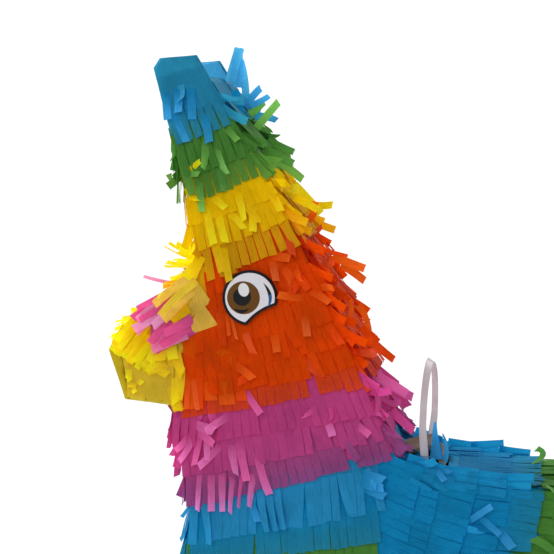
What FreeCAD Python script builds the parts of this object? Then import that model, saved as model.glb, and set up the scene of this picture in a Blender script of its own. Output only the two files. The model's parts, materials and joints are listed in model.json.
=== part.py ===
import FreeCAD
import Part
import Sketcher
import math
import os

# Donkey pinata, standing on its two pairs of legs, head towards -X, floor at Z = 0.
#
# Two cut-out side panels of corrugated board carry the outline. Strips of the same board, bent
# along the outline, close the gap between them. Bands of crepe paper are glued round this box;
# each band is one closed skin here. A two-leaf filling flap is cut in the back behind the neck,
# a flat plastic loop comes up through two slots beside it, and a rolled paper tail hangs behind.
#
# Every place is a pair of sheet cells, NAME_x and NAME_z, because the outline is extruded along Y.

SIZES = {
    "thickness": 120.0,  # over the outside of the two side panels
    "board": 3.0,  # corrugated board
    "skin": 1.5,  # glued crepe, several layers deep
    "lining": 0.8,  # paper on the inside of the ears
    "paper_foot": 1.0,  # the paper stops this far above the floor
    "eye_radius": 20.0,
    "eye_sheet": 0.5,
    "eye_chord": 16.5,  # from the eye's centre to its cut lower corner
    "eye_chord_angle": -45.0,
    "nape_radius": 2000.0,
    "chest_radius": 300.0,
    "rump_radius": 45.0,
    "flap_width": 56.0,
    "flap_gap": 0.5,  # cut round the leaves
    "flap_relief": 1.2,  # the opening starts this far in front of the withers
    "neck_hinge_inset": 1.0,  # from the withers back to the neck leaf's crease
    "neck_leaf_length": 27.2,
    "neck_leaf_raise": 36.0,  # degrees open, as it stands
    "tail_leaf_length": 10.6,
    "tail_leaf_raise": 62.0,
    "loop_width": 6.0,
    "loop_gauge": 1.0,
    "loop_reach": 38.0,  # half the distance between the loop's legs
    "loop_rise": 34.0,  # straight part of each leg
    "slot_length": 8.0,
    "slot_width": 2.0,
    "anchor_foot": 15.0,
    "plate_length": 20.0,
    "plate_width": 110.0,
    "plate_drop": 1.0,  # below the underside of the saddle
    "staple_wire": 0.6,
    "staple_crown": 9.0,
    "tail_stub_radius": 5.0,
    "tail_rope_radius": 6.0,
    "tail_rope_length": 72.0,  # below the swinging point
    "tail_brush_radius": 11.5,
    "tail_brush_length": 48.0,
    "stub_fit": 0.2,  # all round the tail stub in the rump
    "crown_trim": 4.8,  # the crown strip stops this far short of the nape
    "cut_height": 60.0,  # upright cuts through the back
    "cut_start": 30.0,  # they start this far below the saddle
    "hinge_clearance": 0.5,
}

# The outline of the side panels, anticlockwise as seen from the near side.
OUTLINE = {
    "front_toe": (-137.0, 0.0),
    "front_heel": (-60.0, 0.0),
    "belly_front": (-52.0, 128.0),
    "belly_rear": (80.0, 128.0),
    "hind_toe": (90.0, 0.0),
    "hind_heel": (171.0, 0.0),
    "buttock": (176.0, 200.0),
    "croup": (150.0, 241.0),
    "loin": (112.0, 246.0),
    "saddle": (36.0, 256.0),
    "withers": (9.0, 267.0),
    "ear_back": (-135.0, 556.0),
    "ear_top": (-160.0, 554.0),
    "ear_front": (-164.0, 548.0),
    "brow": (-127.0, 406.0),
    "nose_top": (-187.0, 360.0),
    "nose_tip": (-198.0, 344.0),
    "chin_tip": (-186.5, 309.0),
    "chin_root": (-153.0, 305.0),
    "throat": (-149.5, 296.0),
    "neck_base": (-137.5, 225.0),
    "chest_foot": (-138.0, 110.0),
}

# Stretches of the outline that are arcs, bulging outwards: first point and radius cell.
ARCS = {
    "buttock": "rump_radius",
    "withers": "nape_radius",
    "neck_base": "chest_radius",
}

# Corners of the cutting lines between strips and between bands. Names ending in _out lie outside
# the outline, names ending in _in inside it.
PLACES = {
    "crown_front": (-153.6, 508.0),
    "crown_back": (-126.2, 541.0),
    "crown_front_out": (-176.0, 506.0),
    "crown_front_in": (-144.0, 506.0),
    "crown_back_out": (-106.0, 547.0),
    "crown_back_in": (-140.0, 531.0),
    "sky_left": (-200.0, 620.0),
    "sky_right": (-60.0, 620.0),
    "brow_out": (-138.0, 425.0),
    "brow_in": (-120.0, 403.6),
    "bridge_end_out": (-202.0, 370.0),
    "bridge_end_in": (-176.0, 352.0),
    "nose_end_out": (-202.0, 299.0),
    "nose_end_in": (-176.0, 320.0),
    "chin_end_out": (-158.0, 297.0),
    "chin_end_in": (-142.0, 308.0),
    "neck_base_out": (-160.0, 225.0),
    "neck_base_in": (-115.0, 225.0),
    "toe_out": (-160.0, -20.0),
    "toe_in": (-125.0, 12.0),
    "front_heel_out": (-45.0, -20.0),
    "front_heel_in": (-75.0, 12.0),
    "belly_front_out": (-38.0, 113.0),
    "belly_front_in": (-70.0, 146.0),
    "belly_rear_out": (66.0, 113.0),
    "belly_rear_in": (98.0, 146.0),
    "hind_toe_out": (75.0, -20.0),
    "hind_toe_in": (105.0, 12.0),
    "hind_heel_out": (186.0, -20.0),
    "hind_heel_in": (156.0, 12.0),
    "rear_out": (210.0, 130.0),
    "croup_out": (165.0, 275.0),
    "croup_in": (140.0, 220.0),
    "withers_out": (25.0, 290.0),
    "withers_in": (-15.0, 232.0),
    "blue_front": (-200.0, 485.5),
    "blue_back": (-60.0, 527.5),
    "green_front": (-200.0, 439.7),
    "green_back": (-40.0, 486.3),
    "yellow_back": (-10.0, 437.5),
    "orange_back": (20.0, 329.0),
    "chin_cut_out": (-157.0, 297.0),
    "chin_cut_in": (-146.0, 302.0),
    "gold_top": (-152.0, 406.0),
    "gold_foot": (-161.0, 298.0),
    "muzzle_pink_top": (-170.0, 393.0),
    "muzzle_pink_foot": (-172.5, 299.0),
    "muzzle_yellow_top": (-196.0, 372.0),
    "muzzle_yellow_foot": (-182.5, 299.0),
    "nose_top_corner": (-215.0, 372.0),
    "nose_foot_corner": (-215.0, 299.0),
    "pink_front": (-165.0, 217.0),
    "pink_shoulder": (-3.0, 268.3),
    "pink_back": (15.0, 274.0),
    "shoulder_front": (-165.0, 186.0),
    "shoulder_back": (-3.0, 204.0),
    "above_withers": (15.0, 300.0),
}

# Levels and stations of the straight cuts between the leg and body bands.
LEVELS = {
    "foreleg_yellow_top": 150.0,
    "foreleg_orange_top": 112.0,
    "foreleg_pink_top": 75.0,
    "foreleg_blue_top": 38.0,
    "hindleg_orange_top": 118.0,
    "hindleg_pink_top": 79.0,
    "hindleg_blue_top": 40.0,
}
STATIONS = {
    "front_limit": -165.0,
    "foreleg_limit": -30.0,
    "shoulder_limit": -3.0,
    "hindleg_limit": 55.0,
    "flank_limit": 118.0,
    "rump_limit": 146.0,
    "rear_limit": 190.0,
}

# Where the fittings stand; the back's own slopes give the heights of the hinges and the loop.
FITTINGS = {
    "tail_hinge_x": 46.5,
    "loop_x": 31.0,
    "eye_x": -94.9,
    "eye_z": 383.3,
    "stub_start_x": 163.0,
    "tail_x": 188.0,
    "tail_z": 224.0,
}

STRIPS = {
    "forehead_strip": ("crown_front_out", "brow_out", "brow_in", "crown_front_in"),
    "muzzle_bridge_strip": ("brow_out", "bridge_end_out", "bridge_end_in", "brow_in"),
    "nose_end_strip": ("bridge_end_out", "nose_end_out", "nose_end_in", "bridge_end_in"),
    "chin_strip": ("nose_end_out", "chin_end_out", "chin_end_in", "nose_end_in"),
    "neck_front_strip": ("chin_end_out", "neck_base_out", "neck_base_in", "chin_end_in"),
    "chest_strip": ("neck_base_out", "toe_out", "toe_in", "neck_base_in"),
    "front_sole_strip": ("toe_out", "front_heel_out", "front_heel_in", "toe_in"),
    "foreleg_back_strip": (
        "front_heel_out", "belly_front_out", "belly_front_in", "front_heel_in"
    ),
    "belly_strip": ("belly_front_out", "belly_rear_out", "belly_rear_in", "belly_front_in"),
    "hindleg_front_strip": ("belly_rear_out", "hind_toe_out", "hind_toe_in", "belly_rear_in"),
    "hind_sole_strip": ("hind_toe_out", "hind_heel_out", "hind_heel_in", "hind_toe_in"),
    "rump_strip": ("hind_heel_out", "rear_out", "croup_out", "croup_in", "hind_heel_in"),
    "back_strip": ("croup_out", "withers_out", "withers_in", "croup_in"),
    "mane_strip": ("withers_out", "crown_back_out", "crown_back_in", "withers_in"),
}

HEAD_BANDS = {
    "ear_blue_paper": ("sky_left", "blue_front", "blue_back", "sky_right"),
    "head_green_paper": ("blue_front", "green_front", "green_back", "blue_back"),
    "head_yellow_paper": ("green_front", "brow_out", "brow_in", "yellow_back", "green_back"),
    "face_orange_paper": ("brow_in", "chin_cut_in", "orange_back", "yellow_back"),
    "neck_pink_paper": (
        "chin_cut_in", "chin_cut_out", "pink_front", "pink_shoulder", "pink_back", "orange_back"
    ),
    "muzzle_gold_paper": (
        "brow_in", "brow_out", "gold_top", "gold_foot", "chin_cut_out", "chin_cut_in"
    ),
    "muzzle_pink_paper": ("gold_top", "muzzle_pink_top", "muzzle_pink_foot", "gold_foot"),
    "muzzle_yellow_paper": (
        "muzzle_pink_top", "muzzle_yellow_top", "muzzle_yellow_foot", "muzzle_pink_foot"
    ),
    "nose_wrap_paper": (
        "muzzle_yellow_top", "nose_top_corner", "nose_foot_corner", "muzzle_yellow_foot"
    ),
    "shoulder_blue_paper": ("pink_front", "shoulder_front", "shoulder_back", "pink_shoulder"),
}

# Bands cut by levels and stations: left, right, foot and top cells.
BLOCK_BANDS = {
    "foreleg_yellow_paper": (
        "front_limit", "shoulder_limit", "foreleg_orange_top", "foreleg_yellow_top"
    ),
    "foreleg_orange_paper": (
        "front_limit", "foreleg_limit", "foreleg_pink_top", "foreleg_orange_top"
    ),
    "foreleg_pink_paper": (
        "front_limit", "foreleg_limit", "foreleg_blue_top", "foreleg_pink_top"
    ),
    "foreleg_blue_paper": ("front_limit", "foreleg_limit", "paper_foot", "foreleg_blue_top"),
    "hindleg_orange_paper": (
        "hindleg_limit", "rear_limit", "hindleg_pink_top", "hindleg_orange_top"
    ),
    "hindleg_pink_paper": (
        "hindleg_limit", "rear_limit", "hindleg_blue_top", "hindleg_pink_top"
    ),
    "hindleg_blue_paper": ("hindleg_limit", "rear_limit", "paper_foot", "hindleg_blue_top"),
    "flank_green_paper": ("flank_limit", "rump_limit", "hindleg_orange_top", "sky_level"),
    "rump_yellow_paper": ("rump_limit", "rear_limit", "hindleg_orange_top", "sky_level"),
}

doc = FreeCAD.newDocument("pinata")
sheet = doc.addObject("Spreadsheet::Sheet", "Sizes")
value = {}
subparts = []


def set_cell(alias, number):
    """Adds one named number to the sheet."""
    row = len(value) + 1
    value[alias] = number
    sheet.set("A%d" % row, alias.replace("_", " "))
    sheet.set("B%d" % row, str(number))
    sheet.setAlias("B%d" % row, alias)


def fill_sheet():
    """Writes every driving dimension and every named place."""
    for group in (SIZES, LEVELS, STATIONS, FITTINGS):
        for alias, number in group.items():
            set_cell(alias, number)
    for group in (OUTLINE, PLACES):
        for name, (place_x, place_z) in group.items():
            set_cell(name + "_x", place_x)
            set_cell(name + "_z", place_z)
    set_cell("sky_level", 320.0)
    doc.recompute()


def bind(thing, prop, formula):
    """Binds a property to the sheet; a bare word in the formula is a cell's alias."""
    thing.setExpression(prop, formula)


def keep(thing, label):
    """Marks a finished sub-part, whose label names its file."""
    thing.Label = label
    subparts.append(thing)
    return thing


def origin_plane(body, role):
    """The body's own origin plane of that role."""
    return next(plane for plane in body.Origin.OriginFeatures if plane.Role == role)


def new_sketch(name, body=None, plane="XZ_Plane"):
    """A sketch in the XZ plane, in a body or on its own; its x is X and its y is Z."""
    if body is None:
        sketch = doc.addObject("Sketcher::SketchObject", name)
        upright = FreeCAD.Rotation(FreeCAD.Vector(1, 0, 0), 90)
        sketch.Placement = FreeCAD.Placement(FreeCAD.Vector(), upright)
        return sketch
    sketch = body.newObject("Sketcher::SketchObject", name)
    sketch.AttachmentSupport = [(origin_plane(body, plane), "")]
    sketch.MapMode = "FlatFace"
    return sketch


def draw_loop(sketch, corners, arcs=None):
    """Draws a closed loop through named places, each bound to its two cells. corners maps a name
    to the pair of cells of that corner; arcs maps a corner to the radius cell of the arc that
    leaves it."""
    arcs = arcs or {}
    names = list(corners)
    ends = []
    for index, name in enumerate(names):
        start = FreeCAD.Vector(*(value[cell] for cell in corners[name]), 0)
        following = names[(index + 1) % len(names)]
        finish = FreeCAD.Vector(*(value[cell] for cell in corners[following]), 0)
        if name in arcs:
            radius = value[arcs[name]]
            chord = finish.sub(start)
            rise = math.sqrt(radius**2 - (chord.Length / 2) ** 2)
            inward = FreeCAD.Vector(-chord.y, chord.x, 0).normalize()
            centre = start.add(chord * 0.5).add(inward * rise)
            spoke = start.sub(centre)
            first = math.atan2(spoke.y, spoke.x)
            spoke = finish.sub(centre)
            last = math.atan2(spoke.y, spoke.x)
            circle = Part.Circle(centre, FreeCAD.Vector(0, 0, 1), radius)
            ends.append(sketch.addGeometry(Part.ArcOfCircle(circle, first, last)))
        else:
            ends.append(sketch.addGeometry(Part.LineSegment(start, finish)))
    for index, edge in enumerate(ends):
        following = ends[(index + 1) % len(ends)]
        sketch.addConstraint(Sketcher.Constraint("Coincident", edge, 2, following, 1))
    for edge, name in zip(ends, names, strict=True):
        for kind, cell in zip(("DistanceX", "DistanceY"), corners[name], strict=True):
            rule = sketch.addConstraint(
                Sketcher.Constraint(kind, -1, 1, edge, 1, value[cell])
            )
            sketch.setExpression("Constraints[%d]" % rule, "Sizes." + cell)
        if name in arcs:
            rule = sketch.addConstraint(
                Sketcher.Constraint("Radius", edge, value[arcs[name]])
            )
            sketch.setExpression("Constraints[%d]" % rule, "Sizes." + arcs[name])


def places(names):
    """The cells of named places, for draw_loop."""
    return {name: (name + "_x", name + "_z") for name in names}


def extrude(name, source, width):
    """A solid from a closed sketch or offset, as wide as the formula, centred on Y = 0."""
    solid = doc.addObject("Part::Extrusion", name)
    solid.Base = source
    solid.DirMode = "Custom"
    solid.Dir = FreeCAD.Vector(0, -1, 0)
    solid.Solid = True
    solid.Symmetric = True
    bind(solid, "LengthFwd", width)
    return solid


def offset(name, source, distance):
    """A flat face grown outwards by the formula, with sharp corners."""
    moved = doc.addObject("Part::Offset2D", name)
    moved.Source = source
    moved.Mode = "Skin"
    moved.Join = "Tangent"
    moved.Fill = False
    bind(moved, "Value", distance)
    return moved


def combine(kind, name, base, tool):
    """A boolean of two objects: Cut, Fuse or Common."""
    result = doc.addObject("Part::" + kind, name)
    result.Base = base
    result.Tool = tool
    return result


def box(name, length, width, height, base_x, base_y, base_z):
    """A box with every size and its corner bound to formulas."""
    block = doc.addObject("Part::Box", name)
    bind(block, "Length", length)
    bind(block, "Width", width)
    bind(block, "Height", height)
    bind(block, "Placement.Base.x", base_x)
    bind(block, "Placement.Base.y", base_y)
    bind(block, "Placement.Base.z", base_z)
    return block


def region(name, corners):
    """A prism across the whole object between named places, used to cut strips and bands."""
    sketch = new_sketch(name + "_lines")
    draw_loop(sketch, corners)
    return extrude(name + "_region", sketch, "Sizes.thickness * 2")


def turned_plate(name, length, width, gauge, hinge, slope, cover="0"):
    """A flat plate that starts at a named place and runs off at a slope below +X about the Y
    axis. Its upper face lies under a cover of paper, whose surface passes through the place."""
    depth = "(%s + %s)" % (gauge, cover)
    plate = doc.addObject("Part::Box", name)
    bind(plate, "Length", length)
    bind(plate, "Width", width)
    bind(plate, "Height", gauge)
    plate.Placement = FreeCAD.Placement(
        FreeCAD.Vector(), FreeCAD.Rotation(FreeCAD.Vector(0, 1, 0), 10)
    )
    bind(plate, "Placement.Rotation.Angle", slope)
    bind(plate, "Placement.Base.x", "Sizes.%s_x - %s * sin(%s)" % (hinge, depth, slope))
    bind(plate, "Placement.Base.y", "-(%s) / 2" % width)
    bind(plate, "Placement.Base.z", "Sizes.%s_z - %s * cos(%s)" % (hinge, depth, slope))
    return plate


def outline_face():
    """The flat shape of a side panel, from which the strips and the paper are worked out."""
    sketch = new_sketch("panel_outline")
    draw_loop(sketch, places(OUTLINE), ARCS)
    face = doc.addObject("Part::Face", "panel_face")
    face.Sources = (sketch,)
    face.FaceMakerClass = "Part::FaceMakerCheese"
    return face


def side_panels():
    """The two cut-out panels: the same outline, padded by one board's thickness."""
    for label, level in (
        ("near_side_panel", "-Sizes.thickness / 2 + Sizes.board"),
        ("far_side_panel", "Sizes.thickness / 2"),
    ):
        body = doc.addObject("PartDesign::Body", label + "_body")
        sketch = new_sketch(label + "_outline", body)
        draw_loop(sketch, places(OUTLINE), ARCS)
        pad = body.newObject("PartDesign::Pad", label + "_pad")
        pad.Profile = sketch
        bind(pad, "Length", "Sizes.board")
        bind(body, "Placement.Base.y", level)
        keep(body, label)


def back_slope():
    """Formula for the fall of the back from the withers to the saddle, in degrees."""
    return "atan2(Sizes.withers_z - Sizes.saddle_z; Sizes.saddle_x - Sizes.withers_x)"


def saddle_slope():
    """Formula for the fall of the back from the saddle to the loin, in degrees."""
    return "atan2(Sizes.saddle_z - Sizes.loin_z; Sizes.loin_x - Sizes.saddle_x)"


def strips(outline):
    """The bent strips between the panels, cut from one ring that follows the outline."""
    inside = "Sizes.thickness - 2 * Sizes.board"
    inner = offset("ring_inner_outline", outline, "-Sizes.board")
    ring = combine(
        "Cut",
        "board_ring",
        extrude("ring_outside", outline, inside),
        extrude("ring_inside", inner, inside + " + 2 * Sizes.board"),
    )
    for label, corners in STRIPS.items():
        piece = combine("Common", label + "_piece", ring, region(label, places(corners)))
        if label == "back_strip":
            piece = combine("Cut", "pierced_back", piece, back_openings())
        if label == "rump_strip":
            piece = combine("Cut", "pierced_rump", piece, stub_bore())
        keep(piece, label)
    crown = turned_plate(
        "crown_plate",
        "sqrt((Sizes.crown_back_x - Sizes.crown_front_x)^2"
        " + (Sizes.crown_back_z - Sizes.crown_front_z)^2) - Sizes.crown_trim",
        inside,
        "Sizes.board",
        "crown_front",
        "atan2(Sizes.crown_front_z - Sizes.crown_back_z; Sizes.crown_back_x - Sizes.crown_front_x)",
    )
    keep(crown, "crown_strip")


def stub_bore():
    """The hole for the tail stub, through the rump strip and its paper."""
    bore = doc.addObject("Part::Cylinder", "tail_stub_bore")
    bind(bore, "Radius", "Sizes.tail_stub_radius + Sizes.stub_fit")
    bind(bore, "Height", "Sizes.tail_x - Sizes.stub_start_x")
    bore.Placement = FreeCAD.Placement(
        FreeCAD.Vector(), FreeCAD.Rotation(FreeCAD.Vector(0, 1, 0), 90)
    )
    bind(bore, "Placement.Base.x", "Sizes.stub_start_x - Sizes.stub_fit")
    bind(bore, "Placement.Base.z", "Sizes.tail_z")
    return bore


def back_openings():
    """What is cut from the back strip and its paper: the flap's opening and the loop's slots."""
    mouth = box(
        "flap_mouth",
        "Sizes.tail_hinge_x + Sizes.flap_gap - Sizes.withers_x + Sizes.flap_relief",
        "Sizes.flap_width + 2 * Sizes.flap_gap",
        "Sizes.cut_height",
        "Sizes.withers_x - Sizes.flap_relief",
        "-Sizes.flap_width / 2 - Sizes.flap_gap",
        "Sizes.saddle_z - Sizes.cut_start",
    )
    both = mouth
    for side, label in ((-1, "near"), (1, "far")):
        slot = box(
            label + "_loop_slot",
            "Sizes.slot_length",
            "Sizes.slot_width",
            "Sizes.cut_height",
            "Sizes.loop_x - Sizes.slot_length / 2",
            "%d * Sizes.loop_reach - Sizes.slot_width / 2" % side,
            "Sizes.saddle_z - Sizes.cut_start",
        )
        both = combine("Fuse", label + "_cuts", both, slot)
    return both


def paper_bands(outline):
    """The crepe bands, cut from one skin that wraps panels and strips."""
    outer = offset("skin_outer_outline", outline, "Sizes.skin")
    shell = combine(
        "Cut",
        "whole_skin",
        extrude("skin_outside", outer, "Sizes.thickness + 2 * Sizes.skin"),
        extrude("skin_inside", outline, "Sizes.thickness"),
    )
    notch_lines = new_sketch("ear_notch_lines")
    draw_loop(notch_lines, places(("crown_front", "crown_back", "sky_right", "sky_left")))
    notch = extrude("ear_notch", notch_lines, "Sizes.thickness - 2 * Sizes.board")
    shell = combine("Cut", "notched_skin", shell, notch)
    for label, corners in HEAD_BANDS.items():
        band = combine("Common", label + "_band", shell, region(label, places(corners)))
        keep(band, label)
    for label, (left, right, foot, top) in BLOCK_BANDS.items():
        corners = {"a": (left, foot), "b": (right, foot), "c": (right, top), "d": (left, top)}
        band = combine("Common", label + "_band", shell, region(label, corners))
        if label == "rump_yellow_paper":
            bore = doc.getObject("tail_stub_bore")
            band = combine("Cut", "pierced_rump_band", band, bore)
        keep(band, label)
    chest = {
        "shoulder_front": ("shoulder_front_x", "shoulder_front_z"),
        "foot_front": ("front_limit", "foreleg_yellow_top"),
        "foot_back": ("shoulder_limit", "foreleg_yellow_top"),
        "shoulder_back": ("shoulder_back_x", "shoulder_back_z"),
    }
    keep(combine("Common", "chest_band", shell, region("chest", chest)), "chest_green_paper")
    back = {
        "pink_shoulder": ("pink_shoulder_x", "pink_shoulder_z"),
        "foot_front": ("shoulder_limit", "hindleg_orange_top"),
        "foot_back": ("flank_limit", "hindleg_orange_top"),
        "top_back": ("flank_limit", "sky_level"),
        "top_front": ("above_withers_x", "sky_level"),
        "pink_back": ("pink_back_x", "pink_back_z"),
    }
    band = combine("Common", "back_band", shell, region("back", back))
    keep(combine("Cut", "pierced_back_band", band, doc.getObject("far_cuts")), "back_blue_paper")


def ear_linings():
    """Paper on the inner face of each ear, above the crown."""
    corners = ("crown_front", "crown_back", "ear_back", "ear_top", "ear_front")
    for label, inner_face in (
        ("near_ear_lining", "-Sizes.thickness / 2 + Sizes.board + Sizes.lining"),
        ("far_ear_lining", "Sizes.thickness / 2 - Sizes.board"),
    ):
        body = doc.addObject("PartDesign::Body", label + "_body")
        sketch = new_sketch(label + "_outline", body)
        draw_loop(sketch, places(corners))
        pad = body.newObject("PartDesign::Pad", label + "_pad")
        pad.Profile = sketch
        bind(pad, "Length", "Sizes.lining")
        bind(body, "Placement.Base.y", inner_face)
        keep(body, label)


def eyes():
    """Two stickers, each a disc with its lower rear corner cut straight."""
    for label, outer_face in (
        ("near_eye", "-Sizes.thickness / 2 - Sizes.skin"),
        ("far_eye", "Sizes.thickness / 2 + Sizes.skin + Sizes.eye_sheet"),
    ):
        disc = doc.addObject("Part::Cylinder", label + "_disc")
        bind(disc, "Radius", "Sizes.eye_radius")
        bind(disc, "Height", "Sizes.eye_sheet")
        disc.Placement = FreeCAD.Placement(
            FreeCAD.Vector(), FreeCAD.Rotation(FreeCAD.Vector(1, 0, 0), 90)
        )
        corner = doc.addObject("Part::Box", label + "_corner")
        bind(corner, "Length", "Sizes.eye_radius")
        bind(corner, "Width", "Sizes.eye_sheet * 4")
        bind(corner, "Height", "Sizes.eye_radius * 4")
        turn = FreeCAD.Rotation(FreeCAD.Vector(0, 1, 0), -value["eye_chord_angle"])
        corner.Placement = FreeCAD.Placement(FreeCAD.Vector(), turn)
        along = "cos(Sizes.eye_chord_angle * 1 deg)"
        down = "sin(Sizes.eye_chord_angle * 1 deg)"
        bind(corner, "Placement.Rotation.Angle", "-Sizes.eye_chord_angle * 1 deg")
        bind(disc, "Placement.Base.x", "Sizes.eye_x")
        bind(disc, "Placement.Base.z", "Sizes.eye_z")
        bind(disc, "Placement.Base.y", outer_face)
        bind(corner, "Placement.Base.y", outer_face + " - Sizes.eye_sheet * 3")
        reach = "Sizes.eye_chord * %s + 2 * Sizes.eye_radius * %s" % (along, down)
        bind(corner, "Placement.Base.x", "Sizes.eye_x + " + reach)
        reach = "Sizes.eye_chord * %s - 2 * Sizes.eye_radius * %s" % (down, along)
        bind(corner, "Placement.Base.z", "Sizes.eye_z + " + reach)
        keep(combine("Cut", label + "_cut", disc, corner), label)


def filling_flap():
    """The two leaves of the filling flap, standing part open as they were left."""
    neck_leaf = turned_plate(
        "neck_leaf",
        "Sizes.neck_leaf_length",
        "Sizes.flap_width",
        "Sizes.board",
        "neck_hinge",
        back_slope() + " - Sizes.neck_leaf_raise * 1 deg",
        "Sizes.skin",
    )
    keep(neck_leaf, "flap_neck_leaf")
    tail_leaf = doc.addObject("Part::Box", "tail_leaf")
    bind(tail_leaf, "Length", "Sizes.tail_leaf_length")
    bind(tail_leaf, "Width", "Sizes.flap_width")
    bind(tail_leaf, "Height", "Sizes.board")
    angle = "(%s + Sizes.tail_leaf_raise * 1 deg)" % saddle_slope()
    tail_leaf.Placement = FreeCAD.Placement(
        FreeCAD.Vector(), FreeCAD.Rotation(FreeCAD.Vector(0, 1, 0), 60)
    )
    bind(tail_leaf, "Placement.Rotation.Angle", angle)
    span = "Sizes.tail_leaf_length"
    depth = "(Sizes.board + Sizes.skin)"
    bind(
        tail_leaf,
        "Placement.Base.x",
        "Sizes.tail_hinge_x - %s * cos(%s) - %s * sin(%s)" % (span, angle, depth, angle),
    )
    bind(tail_leaf, "Placement.Base.y", "-Sizes.flap_width / 2")
    bind(
        tail_leaf,
        "Placement.Base.z",
        "Sizes.tail_hinge_z + %s * sin(%s) - %s * cos(%s)" % (span, angle, depth, angle),
    )
    keep(tail_leaf, "flap_tail_leaf")


def hanging_loop():
    """The flat loop above the back, its two turned-out ends, their plates and staples."""
    body = doc.addObject("PartDesign::Body", "loop_body")
    sketch = new_sketch("loop_outline", body, "YZ_Plane")
    draw_arch(sketch)
    pad = body.newObject("PartDesign::Pad", "loop_pad")
    pad.Profile = sketch
    pad.SideType = "Symmetric"
    bind(pad, "Length", "Sizes.loop_width")
    bind(body, "Placement.Base.x", "Sizes.loop_x")
    bind(body, "Placement.Base.z", "Sizes.loop_z")
    keep(body, "hanging_loop")
    ends = None
    staples = None
    plate_foot = "Sizes.saddle_z - Sizes.plate_drop - 2 * Sizes.board"
    foot_level = plate_foot + " - Sizes.loop_gauge"
    shank_top = "Sizes.loop_z - Sizes.loop_width / 2 - Sizes.hinge_clearance"
    for side, label in ((-1, "near"), (1, "far")):
        centre = "%d * Sizes.loop_reach" % side
        reach = "(Sizes.loop_reach + Sizes.anchor_foot / 2 - Sizes.loop_gauge / 2)"
        foot_centre = "%d * %s" % (side, reach)
        shank = box(
            label + "_shank",
            "Sizes.loop_width",
            "Sizes.loop_gauge",
            "%s - (%s)" % (shank_top, foot_level),
            "Sizes.loop_x - Sizes.loop_width / 2",
            centre + " - Sizes.loop_gauge / 2",
            foot_level,
        )
        foot = box(
            label + "_foot",
            "Sizes.loop_width",
            "Sizes.anchor_foot",
            "Sizes.loop_gauge",
            "Sizes.loop_x - Sizes.loop_width / 2",
            foot_centre + " - Sizes.anchor_foot / 2",
            foot_level,
        )
        end = combine("Fuse", label + "_loop_end", shank, foot)
        ends = end if ends is None else combine("Fuse", "loop_end_pair", ends, end)
        wire = box(
            label + "_staple",
            "Sizes.staple_crown",
            "Sizes.staple_wire",
            "Sizes.staple_wire",
            "Sizes.loop_x - Sizes.staple_crown / 2",
            foot_centre + " - Sizes.staple_wire / 2",
            foot_level + " - Sizes.staple_wire",
        )
        staples = wire if staples is None else combine("Fuse", "staple_pair", staples, wire)
    keep(ends, "loop_end_tabs")
    keep(staples, "loop_staples")
    plate = box(
        "plate_blank",
        "Sizes.plate_length",
        "Sizes.plate_width",
        "Sizes.board",
        "Sizes.loop_x - Sizes.plate_length / 2",
        "-Sizes.plate_width / 2",
        plate_foot,
    )
    pierced = combine("Cut", "slotted_plate", plate, doc.getObject("far_cuts"))
    keep(pierced, "loop_anchor_plates")


def draw_arch(sketch):
    """The loop's front outline: two straight legs joined by a half circle, one gauge thick."""
    outer = value["loop_reach"] + value["loop_gauge"] / 2
    inner = value["loop_reach"] - value["loop_gauge"] / 2
    rise = value["loop_rise"]
    up = FreeCAD.Vector(0, 0, 1)
    centre = FreeCAD.Vector(0, rise, 0)

    def line(y_start, z_start, y_end, z_end):
        return sketch.addGeometry(
            Part.LineSegment(
                FreeCAD.Vector(y_start, z_start, 0), FreeCAD.Vector(y_end, z_end, 0)
            )
        )

    right = line(outer, 0, outer, rise)
    top = sketch.addGeometry(Part.ArcOfCircle(Part.Circle(centre, up, outer), 0, math.pi))
    left = line(-outer, rise, -outer, 0)
    left_foot = line(-outer, 0, -inner, 0)
    left_inside = line(-inner, 0, -inner, rise)
    under = sketch.addGeometry(Part.ArcOfCircle(Part.Circle(centre, up, inner), 0, math.pi))
    right_inside = line(inner, rise, inner, 0)
    right_foot = line(inner, 0, outer, 0)
    corners = (
        ("Tangent", right, 2, top, 1),
        ("Tangent", top, 2, left, 1),
        ("Coincident", left, 2, left_foot, 1),
        ("Coincident", left_foot, 2, left_inside, 1),
        ("Tangent", left_inside, 2, under, 2),
        ("Tangent", under, 1, right_inside, 1),
        ("Coincident", right_inside, 2, right_foot, 1),
        ("Coincident", right_foot, 2, right, 1),
    )
    for corner in corners:
        sketch.addConstraint(Sketcher.Constraint(*corner))
    for upright in (right, left, left_inside, right_inside):
        sketch.addConstraint(Sketcher.Constraint("Vertical", upright))
    for level in (left_foot, right_foot):
        sketch.addConstraint(Sketcher.Constraint("Horizontal", level))
    sketch.addConstraint(Sketcher.Constraint("Coincident", top, 3, under, 3))
    sketch.addConstraint(Sketcher.Constraint("PointOnObject", top, 3, -2))
    sketch.addConstraint(Sketcher.Constraint("PointOnObject", right, 1, -1))
    sketch.addConstraint(Sketcher.Constraint("PointOnObject", left_inside, 1, -1))
    for edge, formula in (
        (top, "Sizes.loop_reach + Sizes.loop_gauge / 2"),
        (under, "Sizes.loop_reach - Sizes.loop_gauge / 2"),
    ):
        start = outer if edge == top else inner
        rule = sketch.addConstraint(Sketcher.Constraint("Radius", edge, start))
        sketch.setExpression("Constraints[%d]" % rule, formula)
    rule = sketch.addConstraint(Sketcher.Constraint("DistanceY", right, 1, right, 2, rise))
    sketch.setExpression("Constraints[%d]" % rule, "Sizes.loop_rise")


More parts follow.
